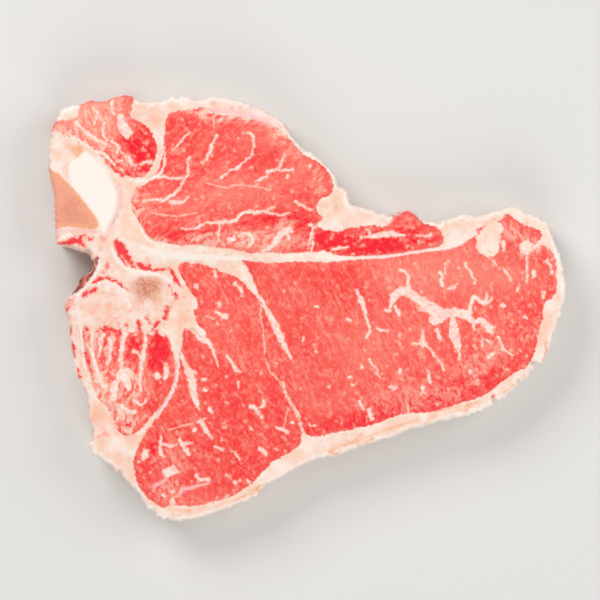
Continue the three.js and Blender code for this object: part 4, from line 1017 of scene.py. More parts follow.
def build_piece(name, owner):
    """One closed piece: its two cut faces and its sides, with the masks on every point."""
    sheet, masks = steak_sheet()
    if not hasattr(sheet, "facing_all"):
        sheet.facing_all = face_direction(sheet)
        sheet.steady = steady_outline(sheet)
        sheet.placed = surface(sheet, masks["pale"])
    pulled, top, low = sheet.placed
    triangles = sheet.triangles[sheet.owner == owner]
    used, local = np.unique(triangles, return_inverse=True)
    local = local.reshape(-1, 3)
    n = len(used)
    upper = np.column_stack([pulled[used], top[used]])
    lower = np.column_stack([pulled[used], low[used]])
    sides = np.concatenate([local[:, pair] for pair in ([0, 1], [1, 2], [2, 0])])
    flat = set(map(tuple, sides.tolist()))
    open_sides = [s for s in flat if (s[1], s[0]) not in flat]
    rim_sides = {(a, b) for a, b in open_sides if (int(used[a]), int(used[b])) in sheet.outer_sides}
    outward = {i for side in rim_sides for i in side}
    extra, column, source = [], {}, [*used, *used]
    for i in sorted(outward):
        j = used[i]
        column[i] = [2 * n + len(extra) + k for k in range(ROWS - 1)]
        for k in range(1, ROWS):
            point, tissue = side_point(sheet, j, k / ROWS, top[j] + (low[j] - top[j]) * k / ROWS)
            extra.append(point)
            source.append(tissue)
    faces = local.tolist()
    faces += [[a + n, c + n, b + n] for a, b, c in local.tolist()]
    creases = set()
    for a, b in open_sides:
        if (a, b) in rim_sides:
            left, right = [a, *column[a], a + n], [b, *column[b], b + n]
            faces += [[l0, l1, r1, r0] for l0, l1, r0, r1 in zip(left, left[1:], right, right[1:])]
        else:
            left, right = [a, *column.get(a, []), a + n], [b, *column.get(b, []), b + n]
            loop = left + right[::-1]
            faces.append(loop)
            creases |= {(min(pair), max(pair)) for pair in zip(loop, loop[1:] + loop[:1])}
    at = np.concatenate([upper, lower, np.array(extra).reshape(-1, 3)]) * MM
    mesh = bpy.data.meshes.new(name)
    mesh.from_pydata(at.tolist(), [], faces)
    mesh.update()
    source = np.array(source)
    for key, value in masks.items():
        store(mesh, key, value[source])
    store(mesh, "side", np.concatenate([np.zeros(2 * n), np.ones(len(extra))]))
    mesh.shade_smooth()
    ends = np.empty(len(mesh.edges) * 2, np.int32)
    mesh.edges.foreach_get("vertices", ends)
    sharp = [tuple(e) in creases for e in np.sort(ends.reshape(-1, 2), 1).tolist()]
    mesh.attributes.new("sharp_edge", "BOOLEAN", "EDGE").data.foreach_set("value", sharp)
    piece = bpy.data.objects.new(name, mesh)
    bpy.context.scene.collection.objects.link(piece)
    return piece


# Geometry Nodes: marbling that follows the veins, with fine flecks scattered between them

def vein_object(name, lines, round_spots=()):
    """The veins and short bent blobs as one curve object, a little thinner than the widths in the tables."""
    curve = bpy.data.curves.new(name, "CURVE")
    curve.dimensions = "3D"
    lines = list(lines)
    for x, y, w in round_spots:
        w *= 0.88
        a = 1.3 * x + 2.1 * y
        dx, dy = 0.42 * w * math.cos(a), 0.42 * w * math.sin(a)
        bend = [(x - dx, y - dy), (x + 0.3 * dy, y - 0.3 * dx), (x + dx, y + dy)]
        lines.append(((0.62 * w, 0.95 * w, 0.5 * w), bend))
    for widths, line in lines:
        spline = curve.splines.new("POLY")
        spline.points.add(len(line) - 1)
        width = np.interp(np.linspace(0, 1, len(line)), np.linspace(0, 1, len(widths)), widths)
        for point, (x, y), w in zip(spline.points, line, width):
            point.co = (x * MM, y * MM, 0, 1)
            point.radius = max(w * 0.95 - 0.64, 0.08) * MM / 2
    made = bpy.data.objects.new(name, curve)
    bpy.context.scene.collection.objects.link(made)
    return made


class Tree:
    """A short way to place and join the nodes of one tree."""

    def __init__(self, tree):
        self.tree = tree
        self.x = 0

    def node(self, kind, **values):
        """Places a node, sets its values and feeds its inputs."""
        node = self.tree.nodes.new(kind)
        node.location = (self.x, 0)
        self.x += 180
        inputs = values.pop("inputs", {})
        for key, value in values.items():
            setattr(node, key, value)
        for key, value in inputs.items():
            self.feed(node.inputs[key], value)
        return node

    def feed(self, socket, value):
        """Joins an input to a socket or to a node's first output, or gives it a plain value."""
        if isinstance(value, bpy.types.NodeSocket):
            self.tree.links.new(value, socket)
        elif isinstance(value, bpy.types.Node):
            self.tree.links.new(next(o for o in value.outputs if o.enabled), socket)
        else:
            socket.default_value = value

    def math(self, operation, a, b, clamp=False):
        """One sum on two numbers."""
        made = self.node("ShaderNodeMath", operation=operation, use_clamp=clamp, inputs={0: a, 1: b})
        return made.outputs[0]

    def vector(self, operation, a, b):
        """One sum on two vectors."""
        return self.node("ShaderNodeVectorMath", operation=operation, inputs={0: a, 1: b}).outputs[0]

    def scaled(self, value, times, plus, clamp=False):
        """A value times one number and plus another."""
        return self.math("ADD", self.math("MULTIPLY", value, times), plus, clamp=clamp)

    def spread(self, value, middle, times):
        """A value with its middle moved to zero, then widened."""
        return self.math("MULTIPLY", self.math("SUBTRACT", value, middle), times)

    def end(self, **results):
        """Closes a group with its results."""
        out = self.node("NodeGroupOutput")
        for name, value in results.items():
            self.feed(out.inputs[name], value)

    def ramp(self, value, low, high, to_low=0.0, to_high=1.0):
        """A smooth change from one number to another as a value goes from low to high."""
        return self.node("ShaderNodeMapRange", interpolation_type="SMOOTHSTEP",
                         inputs={0: value, 1: low, 2: high, 3: to_low, 4: to_high}).outputs[0]


def marbling_tree():
    """Veins and scattered flecks laid flat: how near a point is to them is kept as a mask."""
    tree = bpy.data.node_groups.new("Marbling", "GeometryNodeTree")
    face = tree.interface
    face.new_socket("Geometry", in_out="INPUT", socket_type="NodeSocketGeometry")
    face.new_socket("Veins", in_out="INPUT", socket_type="NodeSocketObject")
    face.new_socket("Mask", in_out="INPUT", socket_type="NodeSocketString")
    for name, default in (("Softness", 0.0003), ("Wander", 0.0006), ("Lift", 0.0001), ("Flecks", 0.0),
                          ("Fleck size", 0.0006)):
        face.new_socket(name, in_out="INPUT", socket_type="NodeSocketFloat").default_value = default
    face.new_socket("Seed", in_out="INPUT", socket_type="NodeSocketInt").default_value = 1
    face.new_socket("Material", in_out="INPUT", socket_type="NodeSocketMaterial")
    face.new_socket("Geometry", in_out="OUTPUT", socket_type="NodeSocketGeometry")
    t = Tree(tree)
    given = t.node("NodeGroupInput")
    veins = t.node("GeometryNodeObjectInfo", inputs={"Object": given.outputs["Veins"]}).outputs["Geometry"]
    veins = t.node("GeometryNodeCurveSplineType", spline_type="CATMULL_ROM", inputs={"Curve": veins})
    veins = t.node("GeometryNodeResampleCurve", mode="LENGTH", inputs={"Curve": veins, "Length": 0.0005})
    ring = t.node("GeometryNodeCurvePrimitiveCircle", inputs={"Resolution": 8, "Radius": 1.0})
    tubes = t.node("GeometryNodeCurveToMesh", inputs={
        "Curve": veins, "Profile Curve": ring.outputs["Curve"], "Scale": t.node("GeometryNodeInputRadius"),
        "Fill Caps": True})
    dense = t.node("GeometryNodeInputNamedAttribute", data_type="FLOAT", inputs={"Name": "flecky"})
    scatter = t.node("GeometryNodeDistributePointsOnFaces", inputs={
        "Mesh": given.outputs["Geometry"], "Density": t.math("MULTIPLY", given.outputs["Flecks"], dense),
        "Seed": given.outputs["Seed"]}).outputs["Points"]
    fleck = t.node("GeometryNodeMeshCircle", fill_type="NGON", inputs={"Vertices": 6, "Radius": 1.0})
    length = t.node("FunctionNodeRandomValue", inputs={2: 0.45, 3: 1.35, "Seed": 3}).outputs[1]
    slim = t.node("FunctionNodeRandomValue", inputs={2: 0.22, 3: 0.6, "Seed": 4}).outputs[1]
    turn = t.node("FunctionNodeRandomValue", inputs={2: -0.9, 3: 0.9, "Seed": 5}).outputs[1]
    lean_way = t.node("GeometryNodeInputNamedAttribute", data_type="FLOAT", inputs={"Name": "grain_turn"})
    long = t.math("MULTIPLY", length, given.outputs["Fleck size"])
    flecks = t.node("GeometryNodeInstanceOnPoints", inputs={
        "Points": scatter, "Instance": fleck,
        "Rotation": t.node("ShaderNodeCombineXYZ", inputs={2: t.math("ADD", turn, lean_way)}),
        "Scale": t.node("ShaderNodeCombineXYZ", inputs={0: long, 1: t.math("MULTIPLY", long, slim), 2: 1.0}),
    })
    flecks = t.node("GeometryNodeRealizeInstances", inputs={0: flecks})
    place = t.node("GeometryNodeInputPosition")
    level = t.vector("MULTIPLY", place, (1, 1, 0))
    shake = t.node("ShaderNodeTexNoise", inputs={"Vector": level, "Scale": 520.0, "Detail": 3.0})
    shake = t.vector("SUBTRACT", shake.outputs["Color"], (0.5, 0.5, 0.5))
    amount = t.node("ShaderNodeCombineXYZ", inputs={0: given.outputs["Wander"], 1: given.outputs["Wander"]})
    shaken = t.vector("ADD", level, t.vector("MULTIPLY", shake, amount))
    patchy = t.node("ShaderNodeTexNoise", inputs={"Vector": level, "Scale": 260.0, "Detail": 2.0})
    strength = t.ramp(patchy.outputs[0], 0.36, 0.66, 0.22, 0.74)
    masks = []
    for part in (tubes, flecks):
        flat = t.node("GeometryNodeSetPosition", inputs={"Geometry": part, "Position": level})
        near = t.node("GeometryNodeProximity", target_element="FACES", inputs={
            "Geometry": flat, "Sample Position": shaken})
        close = t.ramp(near.outputs["Distance"], 0.0, given.outputs["Softness"], 1.0, 0.0)
        masks.append(t.math("MULTIPLY", close, near.outputs["Is Valid"]))
    mask = t.math("MAXIMUM", masks[0], t.math("MULTIPLY", masks[1], strength))
    marked = t.node("GeometryNodeStoreNamedAttribute", data_type="FLOAT", domain="POINT", inputs={
        "Geometry": given.outputs["Geometry"], "Name": given.outputs["Mask"], "Value": mask})
    facing = t.node("GeometryNodeInputNormal").outputs["Normal"]
    up = t.node("ShaderNodeSeparateXYZ", inputs={0: facing}).outputs[2]
    lift = t.math("MULTIPLY", t.math("MULTIPLY", mask, given.outputs["Lift"]), t.ramp(up, 0.5, 0.9))
    raised = t.node("GeometryNodeSetPosition", inputs={
        "Geometry": marked, "Offset": t.node("ShaderNodeCombineXYZ", inputs={2: lift})})
    real = t.node("GeometryNodeRealizeInstances", inputs={0: raised})
    dressed = t.node("GeometryNodeSetMaterial", inputs={
        "Geometry": real, "Material": given.outputs["Material"]})
    t.end(Geometry=dressed)
    return tree


def grow(piece, material, flecks=0.0, seed=0):
    """Runs the marbling on a piece and keeps its result as a plain mesh."""
    s = sizes()
    tree = bpy.data.node_groups.get("Marbling") or marbling_tree()
    wanted = [
        (vein_object("veins", VEINS, FAT_SPOTS), "marbling", 0.00105, 0.0026, 0.00012, flecks),
        (vein_object("sinews", SINEWS), "sinew", 0.0008, 0.0018, 0.00004, 0.0),
    ]
    for veins, mask, softness, wandering, lift, density in wanted:
        modifier = piece.modifiers.new(mask, "NODES")
        modifier.node_group = tree
        values = {"Veins": veins, "Mask": mask, "Softness": softness, "Wander": wandering, "Lift": lift,
                  "Flecks": density, "Fleck size": s.fleck_size, "Seed": s.seed + seed, "Material": material}
        for item in tree.interface.items_tree:
            if item.in_out == "INPUT" and item.name in values:
                modifier[item.identifier] = values[item.name]
    bpy.context.view_layer.update()
    evaluated = piece.evaluated_get(bpy.context.evaluated_depsgraph_get())
    mesh = bpy.data.meshes.new_from_object(evaluated, depsgraph=bpy.context.evaluated_depsgraph_get())
    piece.modifiers.clear()
    old, piece.data = piece.data, mesh
    bpy.data.meshes.remove(old)
    mesh.name = piece.name
    for veins, *_ in wanted:
        curve = veins.data
        bpy.data.objects.remove(veins)
        bpy.data.curves.remove(curve)


# Materials

def read(t, name):
    """A mask that is stored on the mesh."""
    return t.node("ShaderNodeAttribute", attribute_type="GEOMETRY", attribute_name=name).outputs["Fac"]


def mix(t, share, a, b):
    """One colour blended into another by a share."""
    return t.node("ShaderNodeMix", data_type="RGBA", inputs={0: share, 6: a, 7: b}).outputs[2]


def blend(t, share, a, b):
    """One number blended into another by a share."""
    return t.node("ShaderNodeMix", data_type="FLOAT", inputs={0: share, 2: a, 3: b}).outputs[0]


def cloud(t, place, scale, detail=2.0, roughness=0.5, seed=0.0):
    """Soft noise from 0 to 1, with so many waves to the metre, moved aside by a seed."""
    moved = t.vector("ADD", place, (seed, seed * 0.7, 0))
    return t.node("ShaderNodeTexNoise", inputs={
        "Vector": moved, "Scale": scale, "Detail": detail, "Roughness": roughness}).outputs[0]


def shader_group(name, tints, results=("Color", "Height")):
    """An empty shader group, with colours as its inputs and the results that it will give."""
    group = bpy.data.node_groups.new(name, "ShaderNodeTree")
    for label, tint in tints.items():
        socket = group.interface.new_socket(label, in_out="INPUT", socket_type="NodeSocketColor")
        socket.default_value = (*tint, 1)
    for label in results:
        kind = "NodeSocketColor" if label == "Color" else "NodeSocketFloat"
        group.interface.new_socket(label, in_out="OUTPUT", socket_type=kind)
    return group


def lean_group():
    """Lean meat: bundles of fibre with paler sheaths, and deeper and paler patches."""
    c = colours()
    group = shader_group("Lean meat", {"Lean": c.lean, "Fibre": c.fibre, "Deep": c.deep, "Fat": c.fat})
    t = Tree(group)
    given = t.node("NodeGroupInput")
    place = t.node("ShaderNodeTexCoord").outputs["Object"]
    warp = t.node("ShaderNodeTexNoise", inputs={"Vector": place, "Scale": 75.0, "Detail": 2.0})
    warp = t.vector("SUBTRACT", warp.outputs["Color"], (0.5, 0.5, 0.5))
    warp = t.vector("MULTIPLY", warp, (0.008, 0.008, 0.008))
    turned = t.node("ShaderNodeVectorRotate", rotation_type="Z_AXIS", invert=True, inputs={
        "Vector": t.vector("ADD", place, warp), "Angle": read(t, "grain_turn")})
    # Fibres: noise drawn out along the grain
    streaks = t.ramp(cloud(t, t.vector("MULTIPLY", turned, (0.22, 1.0, 0.6)), 560.0, 3.0, 0.6), 0.47, 0.68)
    short = t.vector("MULTIPLY", turned, (0.75, 1.0, 1.0))
    grain = t.ramp(cloud(t, short, 560.0, 4.0, 0.75, seed=1.1), 0.45, 0.64)
    patchy = t.ramp(cloud(t, place, 150.0, 3.0, seed=0.3), 0.36, 0.66)
    share = t.math("MULTIPLY", streaks, t.scaled(patchy, 0.52, 0.14))
    share = t.math("ADD", share, t.math("MULTIPLY", grain, 0.70), clamp=True)
    colour = mix(t, share, given.outputs["Lean"], given.outputs["Fibre"])
    # Broad paler and deeper areas
    tone = read(t, "tone")
    broad = t.ramp(cloud(t, place, 48.0, 2.0, seed=2.0), 0.35, 0.7)
    paler_tone = t.scaled(broad, 0.22, t.math("MULTIPLY", tone, 0.8), clamp=True)
    colour = mix(t, paler_tone, colour, given.outputs["Fibre"])
    short = t.vector("MULTIPLY", turned, (0.7, 1.0, 1.0))
    dark = t.ramp(cloud(t, short, 560.0, 4.0, 0.7, seed=3.0), 0.44, 0.58)
    darker = t.math("MULTIPLY", read(t, "deep"), t.scaled(dark, 0.90, 0.50), clamp=True)
    pits = t.ramp(cloud(t, turned, 620.0, 3.0, 0.6, seed=4.0), 0.56, 0.74)
    deeper_tone = t.math("MULTIPLY", tone, -0.75, clamp=True)
    deeper_tone = t.math("MULTIPLY", deeper_tone, t.math("ADD", dark, 0.35))
    darker = t.math("ADD", darker, deeper_tone, clamp=True)
    darker = t.math("ADD", darker, t.math("MULTIPLY", pits, 0.60), clamp=True)
    colour = mix(t, darker, colour, given.outputs["Deep"])
    # Fat worked through the flesh: threads, and solid where the mask is above one
    pale = read(t, "pale")
    drawn = t.vector("MULTIPLY", turned, (0.45, 1.0, 1.0))
    threads = t.ramp(cloud(t, drawn, 520.0, 4.0, 0.7, seed=5.0), 0.465, 0.535)
    solid = t.math("SUBTRACT", pale, 1.0, clamp=True)
    paler = t.math("MULTIPLY", pale, t.scaled(threads, 1.25, 0.10), clamp=True)
    colour = mix(t, t.math("MAXIMUM", paler, solid), colour, given.outputs["Fat"])
    t.end(Color=colour, Height=t.scaled(streaks, -0.5, t.math("MULTIPLY", grain, 0.5)))
    return group


def fat_group():
    """Fat: cream lobules, brighter near the outer edge and tan at it, with a pink flush and amber stains."""
    c = colours()
    group = shader_group("Firm fat", {"Fat": c.fat, "White": c.bone, "Stain": c.stain, "Blush": c.fibre})
    t = Tree(group)
    given = t.node("NodeGroupInput")
    place = t.node("ShaderNodeTexCoord").outputs["Object"]
    soft = t.ramp(cloud(t, place, 170.0, 3.0, seed=7.0), 0.35, 0.68)
    colour = mix(t, t.math("MULTIPLY", soft, 0.75), given.outputs["Fat"], given.outputs["White"])
    uneven = t.math("ADD", read(t, "rim"), t.spread(cloud(t, place, 240.0, 3.0, seed=21.0), 0.5, 4.0))
    edge = t.ramp(uneven, 1.2, 2.8, 1.0, 0.0)
    colour = mix(t, t.math("MULTIPLY", edge, 0.75), colour, given.outputs["White"])
    tan = t.math("MULTIPLY", t.ramp(uneven, -1.2, 0.6, 1.0, 0.0), 0.35)
    colour = mix(t, tan, colour, given.outputs["Stain"])
    grains = t.node("ShaderNodeTexVoronoi", feature="SMOOTH_F1", inputs={
        "Vector": place, "Scale": 620.0, "Smoothness": 0.6}).outputs[0]
    blotch = t.ramp(cloud(t, place, 330.0, 3.0, seed=8.0), 0.54, 0.74)
    flush = t.math("MULTIPLY", read(t, "rose"), t.scaled(blotch, 0.5, 0.35))
    colour = mix(t, t.math("ADD", flush, t.math("MULTIPLY", blotch, 0.28), clamp=True), colour,
                 given.outputs["Blush"])
    amber = t.ramp(cloud(t, place, 260.0, 3.0, seed=9.0), 0.35, 0.62)
    stained = t.math("MULTIPLY", read(t, "stain"), t.scaled(amber, 0.7, 0.3), clamp=True)
    colour = mix(t, stained, colour, given.outputs["Stain"])
    t.end(Color=colour, Height=t.scaled(grains, 0.5, t.math("MULTIPLY", soft, 0.5)))
    return group


def bone_group():
    """Sawn bone: glossy cartilage, spongy bone with pores, and marrow with a bright rim."""
    c = colours()
    group = shader_group("Sawn bone", {"Bone": c.bone, "Spongy": c.fat, "Marrow": c.marrow, "Stain": c.stain,
                                       "Blush": c.fibre, "Dull": c.dull})
    t = Tree(group)
    given = t.node("NodeGroupInput")
    place = t.node("ShaderNodeTexCoord").outputs["Object"]
    cloudy = t.ramp(cloud(t, place, 200.0, 4.0, 0.6, seed=11.0), 0.36, 0.66)
    colour = mix(t, t.scaled(cloudy, 0.75, 0.25), given.outputs["Bone"], given.outputs["Spongy"])
    pink = t.ramp(cloud(t, place, 420.0, 4.0, 0.65, seed=12.0), 0.46, 0.70)
    flush = t.math("MULTIPLY", read(t, "rose"), t.scaled(pink, 0.75, 0.25))
    colour = mix(t, t.math("ADD", flush, t.math("MULTIPLY", pink, 0.14), clamp=True), colour,
                 given.outputs["Blush"])
    dust = t.ramp(cloud(t, place, 900.0, 4.0, 0.7, seed=19.0), 0.34, 0.66, 0.42, 1.0)
    dusty = t.math("MULTIPLY", read(t, "dull"), dust, clamp=True)
    colour = mix(t, dusty, colour, given.outputs["Dull"])
    glossy = t.ramp(read(t, "cartilage"), -0.6, 1.2)
    colour = mix(t, glossy, colour, given.outputs["Bone"])
    amber = t.ramp(cloud(t, place, 300.0, 3.0, seed=13.0), 0.32, 0.6)
    stained = t.math("MULTIPLY", read(t, "stain"), t.scaled(amber, 0.7, 0.3), clamp=True)
    colour = mix(t, stained, colour, given.outputs["Stain"])
    deep_in = read(t, "marrow")
    pores = t.ramp(cloud(t, place, 1500.0, 3.0, 0.7, seed=14.0), 0.44, 0.62)
    flesh = mix(t, t.math("MULTIPLY", pores, 0.3), given.outputs["Marrow"], given.outputs["Spongy"])
    flesh = mix(t, dusty, flesh, given.outputs["Dull"])
    rim = t.math("MULTIPLY", t.ramp(deep_in, -0.2, 0.3), t.ramp(deep_in, 0.6, 2.2, 1.0, 0.0))
    flesh = mix(t, t.math("MULTIPLY", rim, 0.8), flesh, given.outputs["Stain"])
    colour = mix(t, t.ramp(deep_in, -0.25, 0.35), colour, flesh)
    t.end(Color=colour, Height=t.math("MULTIPLY", pores, t.math("SUBTRACT", 1.0, glossy, clamp=True)))
    return group


def cut_face_group():
    """The whole cut face: lean, fat and bone by their masks, then marbling, sheets and blood."""
    group = bpy.data.node_groups.get("Cut face")
    if group:
        return group
    c = colours()
    group = shader_group("Cut face", {
        "Vein": c.bone, "Fleck": c.fat, "Blood": c.deep, "Flush": c.fibre, "Lilac": c.lilac, "Torn": c.torn,
    }, ("Color", "Roughness", "Coat", "Height"))
    t = Tree(group)
    given = t.node("NodeGroupInput")
    place = t.node("ShaderNodeTexCoord").outputs["Object"]
    lean = t.node("ShaderNodeGroup", node_tree=lean_group())
    fat = t.node("ShaderNodeGroup", node_tree=fat_group())
    bone = t.node("ShaderNodeGroup", node_tree=bone_group())
    # Borders between the tissues, frayed, and wandering more on the side
    frayed = t.spread(cloud(t, place, 720.0, 3.0, 0.6, seed=15.0), 0.5, 2.4)
    drift = t.spread(cloud(t, place, 150.0, 3.0, 0.6, seed=22.0), 0.5, 9.0)
    frayed_side = t.math("ADD", frayed, t.math("MULTIPLY", drift, read(t, "side")))
    meaty = t.ramp(t.math("ADD", read(t, "meat"), frayed_side), -0.30, 0.30)
    tongues = t.spread(cloud(t, place, 300.0, 4.0, 0.7, seed=25.0), 0.47, 9.0)
    bony = t.ramp(t.math("ADD", t.math("ADD", read(t, "bone"), frayed_side), tongues), -0.5, 0.5)
    colour = mix(t, meaty, fat.outputs["Color"], lean.outputs["Color"])
    colour = mix(t, bony, colour, bone.outputs["Color"])
    # Marbling, with a flush round it, and the thin sheets
    rough = t.spread(cloud(t, place, 780.0, 3.0, 0.6, seed=18.0), 0.5, 1.1)
    marbling = read(t, "marbling")
    marbled = t.math("MULTIPLY", t.ramp(t.math("ADD", marbling, rough), 0.20, 1.20), meaty)
    halo = t.ramp(t.math("ADD", marbling, t.math("MULTIPLY", rough, 0.7)), 0.0, 0.45)
    halo = t.math("MULTIPLY", halo, meaty)
    colour = mix(t, t.math("MULTIPLY", halo, 0.38), colour, given.outputs["Flush"])
    creamy = t.ramp(cloud(t, place, 500.0, 2.0, seed=16.0), 0.42, 0.72, 0.0, 0.8)
    vein = mix(t, creamy, given.outputs["Vein"], given.outputs["Fleck"])
    vein = mix(t, t.ramp(marbled, 0.35, 0.9), given.outputs["Fleck"], vein)
    fade = t.ramp(cloud(t, place, 230.0, 4.0, 0.6, seed=26.0), 0.34, 0.58, 0.78, 0.94)
    colour = mix(t, t.math("MULTIPLY", marbled, fade), colour, vein)
    sheets = t.math("MULTIPLY", t.ramp(t.math("ADD", read(t, "sinew"), rough), 0.3, 1.0), meaty)
    colour = mix(t, t.math("MULTIPLY", sheets, 0.60), colour, given.outputs["Fleck"])
    lilac = t.ramp(t.math("ADD", read(t, "lilac"), frayed), -0.9, 0.8)
    colour = mix(t, t.math("MULTIPLY", lilac, 0.55), colour, given.outputs["Lilac"])
    # Blood that has soaked in, the torn edge with its dark red painted shade, and the bright membranes
    stringy = t.spread(cloud(t, place, 420.0, 4.0, 0.7, seed=20.0), 0.52, 5.0)
    soaked = t.math("ADD", read(t, "blood"), stringy)
    colour = mix(t, t.math("MULTIPLY", t.ramp(soaked, -1.3, 0.3), 0.6), colour, given.outputs["Flush"])
    colour = mix(t, t.math("MULTIPLY", t.ramp(soaked, -0.45, 0.55), 0.92), colour, given.outputs["Blood"])
    # Painted shade: the torn edge in the notch turns deep red, with patches of flush
    ragged = t.math("MULTIPLY", t.ramp(t.math("ADD", read(t, "torn"), frayed), -0.5, 0.5),
                    t.ramp(cloud(t, place, 700.0, 3.0, 0.7, seed=23.0), 0.34, 0.60, 0.80, 1.0))
    fresh = t.ramp(cloud(t, place, 380.0, 2.0, seed=24.0), 0.46, 0.66, 0.0, 0.85)
    colour = mix(t, ragged, colour, mix(t, fresh, given.outputs["Torn"], given.outputs["Flush"]))
    bright = t.ramp(t.math("ADD", read(t, "membrane"), t.math("MULTIPLY", frayed, 0.8)), -0.45, 0.35)
    colour = mix(t, t.math("MULTIPLY", bright, 0.80), colour, given.outputs["Vein"])
    # Moist sheen: smoother and glossier where it is wet, and dry at the torn edge
    wet = t.ramp(cloud(t, place, 70.0, 2.0, seed=17.0), 0.35, 0.65)
    roughness = t.scaled(wet, -0.14, t.math("ADD", 0.50, t.math("MULTIPLY", marbled, 0.08)))
    roughness = t.math("ADD", roughness, t.math("MULTIPLY", ragged, 0.35), clamp=True)
    coat = t.math("MULTIPLY", t.scaled(wet, 0.25, 0.05), t.math("SUBTRACT", 1.0, ragged, clamp=True))
    height = blend(t, meaty, fat.outputs["Height"], lean.outputs["Height"])
    height = blend(t, bony, height, bone.outputs["Height"])
    t.end(Color=colour, Roughness=roughness, Coat=coat, Height=height)
    return group


def food_material(name, softness):
    """One finish of the steak: the shared cut face, with its own depth of glow under the skin."""
    material = bpy.data.materials.get(name)
    if material:
        return material
    material = bpy.data.materials.new(name)
    material.use_nodes = True
    material.node_tree.nodes.clear()
    t = Tree(material.node_tree)
    face = t.node("ShaderNodeGroup", node_tree=cut_face_group())
    bump = t.node("ShaderNodeBump", inputs={
        "Strength": 0.35, "Distance": 0.00025, "Height": face.outputs["Height"]})
    shader = t.node("ShaderNodeBsdfPrincipled", inputs={
        "Base Color": face.outputs["Color"], "Roughness": face.outputs["Roughness"],
        "Coat Weight": face.outputs["Coat"], "Normal": bump.outputs[0]})
    shader.inputs["Coat Roughness"].default_value = 0.22
    shader.inputs["Subsurface Weight"].default_value = softness
    shader.inputs["Subsurface Scale"].default_value = 0.0012
    shader.inputs["Subsurface Radius"].default_value = (1.0, 0.35, 0.25)
    shader.inputs["Specular IOR Level"].default_value = 0.4
    t.node("ShaderNodeOutputMaterial", inputs={"Surface": shader.outputs[0]})
    return material


def finish_piece(piece, node):
    """Puts a piece on its body and hides the solid that it stands in for."""
    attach(piece, "root")
    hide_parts(node)


def flecky(piece, amount, turn):
    """How dense the fine flecks are over a piece, and which way they lie."""
    mesh = piece.data
    at = np.empty(len(mesh.vertices) * 3)
    mesh.vertices.foreach_get("co", at)
    at = at.reshape(-1, 3)[:, :2] / MM
    meat = np.empty(len(mesh.vertices))
    mesh.attributes["meat"].data.foreach_get("value", meat)
    value = amount(at[:, 0], at[:, 1]) * step(0.5, 1.5, meat)
    store(mesh, "flecky", value)
    store(mesh, "grain_turn", np.full(len(at), turn))


class STEAK_OT_stage(bpy.types.Operator):
    """Floor, soft studio light and a camera straight above the steak."""

    bl_idname = "steak.stage"
    bl_label = "Stage"

    # Name, place, width in metres and power in watts
    LIGHTS = (
        ("key", (-0.55, 0.65, 0.75), 0.55, 7.0),
        ("fill", (0.75, 0.2, 0.7), 0.7, 4.0),
        ("front", (0.05, -0.85, 0.7), 0.7, 4.5),
    )
    # Heights of the camera and of the upper cut face, and how wide the picture is there, in metres
    CAMERA, FACE, SEEN = 1.1, 0.022, 0.2378
    # How far the floor lies below the steak
    FLOOR_GAP = 0.0002

    def execute(self, context):
        mesh = bpy.data.meshes.new("floor")
        edit = bmesh.new()
        bmesh.ops.create_grid(edit, x_segments=1, y_segments=1, size=3)
        edit.to_mesh(mesh)
        edit.free()
        floor = bpy.data.objects.new("floor", mesh)
        floor.location.z = -self.FLOOR_GAP
        context.scene.collection.objects.link(floor)
        material = bpy.data.materials.new("pale floor")
        material.use_nodes = True
        shader = material.node_tree.nodes["Principled BSDF"]
        shader.inputs["Base Color"].default_value = (*colours().floor, 1)
        shader.inputs["Roughness"].default_value = 0.85
        mesh.materials.append(material)
        for name, place, size, power in self.LIGHTS:
            light = bpy.data.lights.new(name, "AREA")
            light.size = size
            light.energy = power
            lamp = bpy.data.objects.new(name, light)
            lamp.location = place
            lamp.rotation_euler = (-Vector(place)).to_track_quat("-Z", "Y").to_euler()
            context.scene.collection.objects.link(lamp)
        world = bpy.data.worlds.new("studio")
        world.use_nodes = True
        world.node_tree.nodes["Background"].inputs["Color"].default_value = (1, 0.99, 0.98, 1)
        world.node_tree.nodes["Background"].inputs["Strength"].default_value = 0.30
        context.scene.world = world
        lens = bpy.data.cameras.new("camera")
        lens.angle = 2 * math.atan(self.SEEN / 2 / (self.CAMERA - self.FACE))
        camera = bpy.data.objects.new("camera", lens)
        camera.location = (-0.003, 0.0034, self.CAMERA)
        context.scene.collection.objects.link(camera)
        context.scene.camera = camera
        context.scene.view_settings.view_transform = "Standard"
        return {"FINISHED"}


class STEAK_OT_tenderloin(bpy.types.Operator):
    """The tenderloin, above the finger of the bone."""

    bl_idname = "steak.tenderloin"
    bl_label = "Tenderloin"

    def execute(self, context):
        piece = build_piece("tenderloin_flesh", MUSCLES.index("tenderloin"))
        flecky(piece, lambda x, y: (0.25 + 0.9 * step(34, 28, y) * step(-45, -35, x)
                                    + 0.4 * step(-60, -66, x)), 0.55)
        grow(piece, food_material("raw lean", 0.12), sizes().flecks, 1)
        finish_piece(piece, "tenderloin")
        return {"FINISHED"}


class STEAK_OT_loin(bpy.types.Operator):
    """The two parts of the strip loin, on each side of their seam."""

    bl_idname = "steak.loin"
    bl_label = "Strip loin"

    def execute(self, context):
        eye = build_piece("loin_eye_flesh", MUSCLES.index("loin_eye"))
        flecky(eye, lambda x, y: 0.2 + 0.7 * step(0, 60, x) * step(-5, -30, y) + 0.3 * step(40, 70, x), -1.15)
        grow(eye, food_material("raw lean", 0.12), sizes().flecks, 2)
        finish_piece(eye, "loin_eye")
        cap = build_piece("loin_cap_flesh", MUSCLES.index("loin_cap"))
        flecky(cap, lambda x, y: 0.2 + 0.35 * step(-30, -55, y), -1.0)
        grow(cap, food_material("raw lean", 0.12), sizes().flecks, 3)
        finish_piece(cap, "loin_cap")
        return {"FINISHED"}


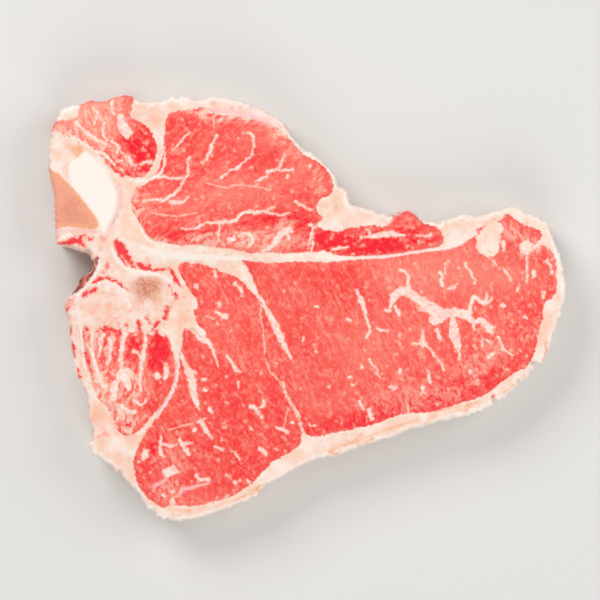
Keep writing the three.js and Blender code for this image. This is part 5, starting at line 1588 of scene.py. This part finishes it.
class STEAK_OT_side_muscles(bpy.types.Operator):
    """The three small muscles round the edge: chine, skirt and chain."""

    bl_idname = "steak.side_muscles"
    bl_label = "Side muscles"

    def execute(self, context):
        for node, slot, finish, turn, seed in (
                ("chine_muscle", "meat", "raw lean", 1.5, 5),
                ("skirt_muscle", "dark_meat", "raw dark lean", 2.0, 6),
                ("chain_muscle", "dark_meat", "raw dark lean", 0.2, 7)):
            piece = build_piece(node + "_flesh", MUSCLES.index(node))
            flecky(piece, lambda x, y: 0.6 + 0 * x, turn)
            grow(piece, food_material(finish, 0.12), sizes().flecks, seed)
            finish_piece(piece, node)
        return {"FINISHED"}


class STEAK_OT_bone(bpy.types.Operator):
    """The sawn T-shaped bone, with its cartilage and marrow."""

    bl_idname = "steak.bone"
    bl_label = "Bone"

    def execute(self, context):
        piece = build_piece("sawn_bone", BONE_OWNER)
        flecky(piece, lambda x, y: 0 * x, 0)
        grow(piece, food_material("sawn bone", 0.10))
        finish_piece(piece, BONE)
        return {"FINISHED"}


class STEAK_OT_fat(bpy.types.Operator):
    """The fat round and between the muscles, and the small patch at the corner."""

    bl_idname = "steak.fat"
    bl_label = "Fat"

    def execute(self, context):
        for offset, node in enumerate(FAT):
            piece = build_piece(node + "_rind", FAT_OWNER + offset)
            flecky(piece, lambda x, y: 0 * x, 0)
            grow(piece, food_material("firm fat", 0.15))
            finish_piece(piece, node)
        return {"FINISHED"}


class STEAK_PT_steak(bpy.types.Panel):
    """Sizes, colours and the steps that make the steak."""

    bl_idname = "STEAK_PT_steak"
    bl_label = "Raw T-bone steak"
    bl_space_type = "VIEW_3D"
    bl_region_type = "UI"
    bl_category = "Steak"

    def draw(self, context):
        for group in (sizes(), colours()):
            for name in group.bl_rna.properties.keys():
                if name not in ("rna_type", "name"):
                    self.layout.prop(group, name)
        for step_class in STEPS:
            self.layout.operator(step_class.bl_idname)


STEPS = (
    STEAK_OT_stage, STEAK_OT_tenderloin, STEAK_OT_loin, STEAK_OT_side_muscles, STEAK_OT_bone, STEAK_OT_fat,
)
CLASSES = (SteakSizes, SteakColours, *STEPS, STEAK_PT_steak)


def register():
    """Makes the panel and its steps known, and gives the scene its sizes and colours."""
    for item in CLASSES:
        bpy.utils.register_class(item)
    bpy.types.Scene.steak_sizes = PointerProperty(type=SteakSizes)
    bpy.types.Scene.steak_colours = PointerProperty(type=SteakColours)


def unregister():
    """Takes away what register added."""
    del bpy.types.Scene.steak_colours
    del bpy.types.Scene.steak_sizes
    for item in reversed(CLASSES):
        bpy.utils.unregister_class(item)


def main():
    """Builds the stage and every piece."""
    register()
    bpy.ops.steak.stage()
    bpy.ops.steak.tenderloin()
    bpy.ops.steak.loin()
    bpy.ops.steak.side_muscles()
    bpy.ops.steak.bone()
    bpy.ops.steak.fat()


if __name__ == "__main__":
    main()
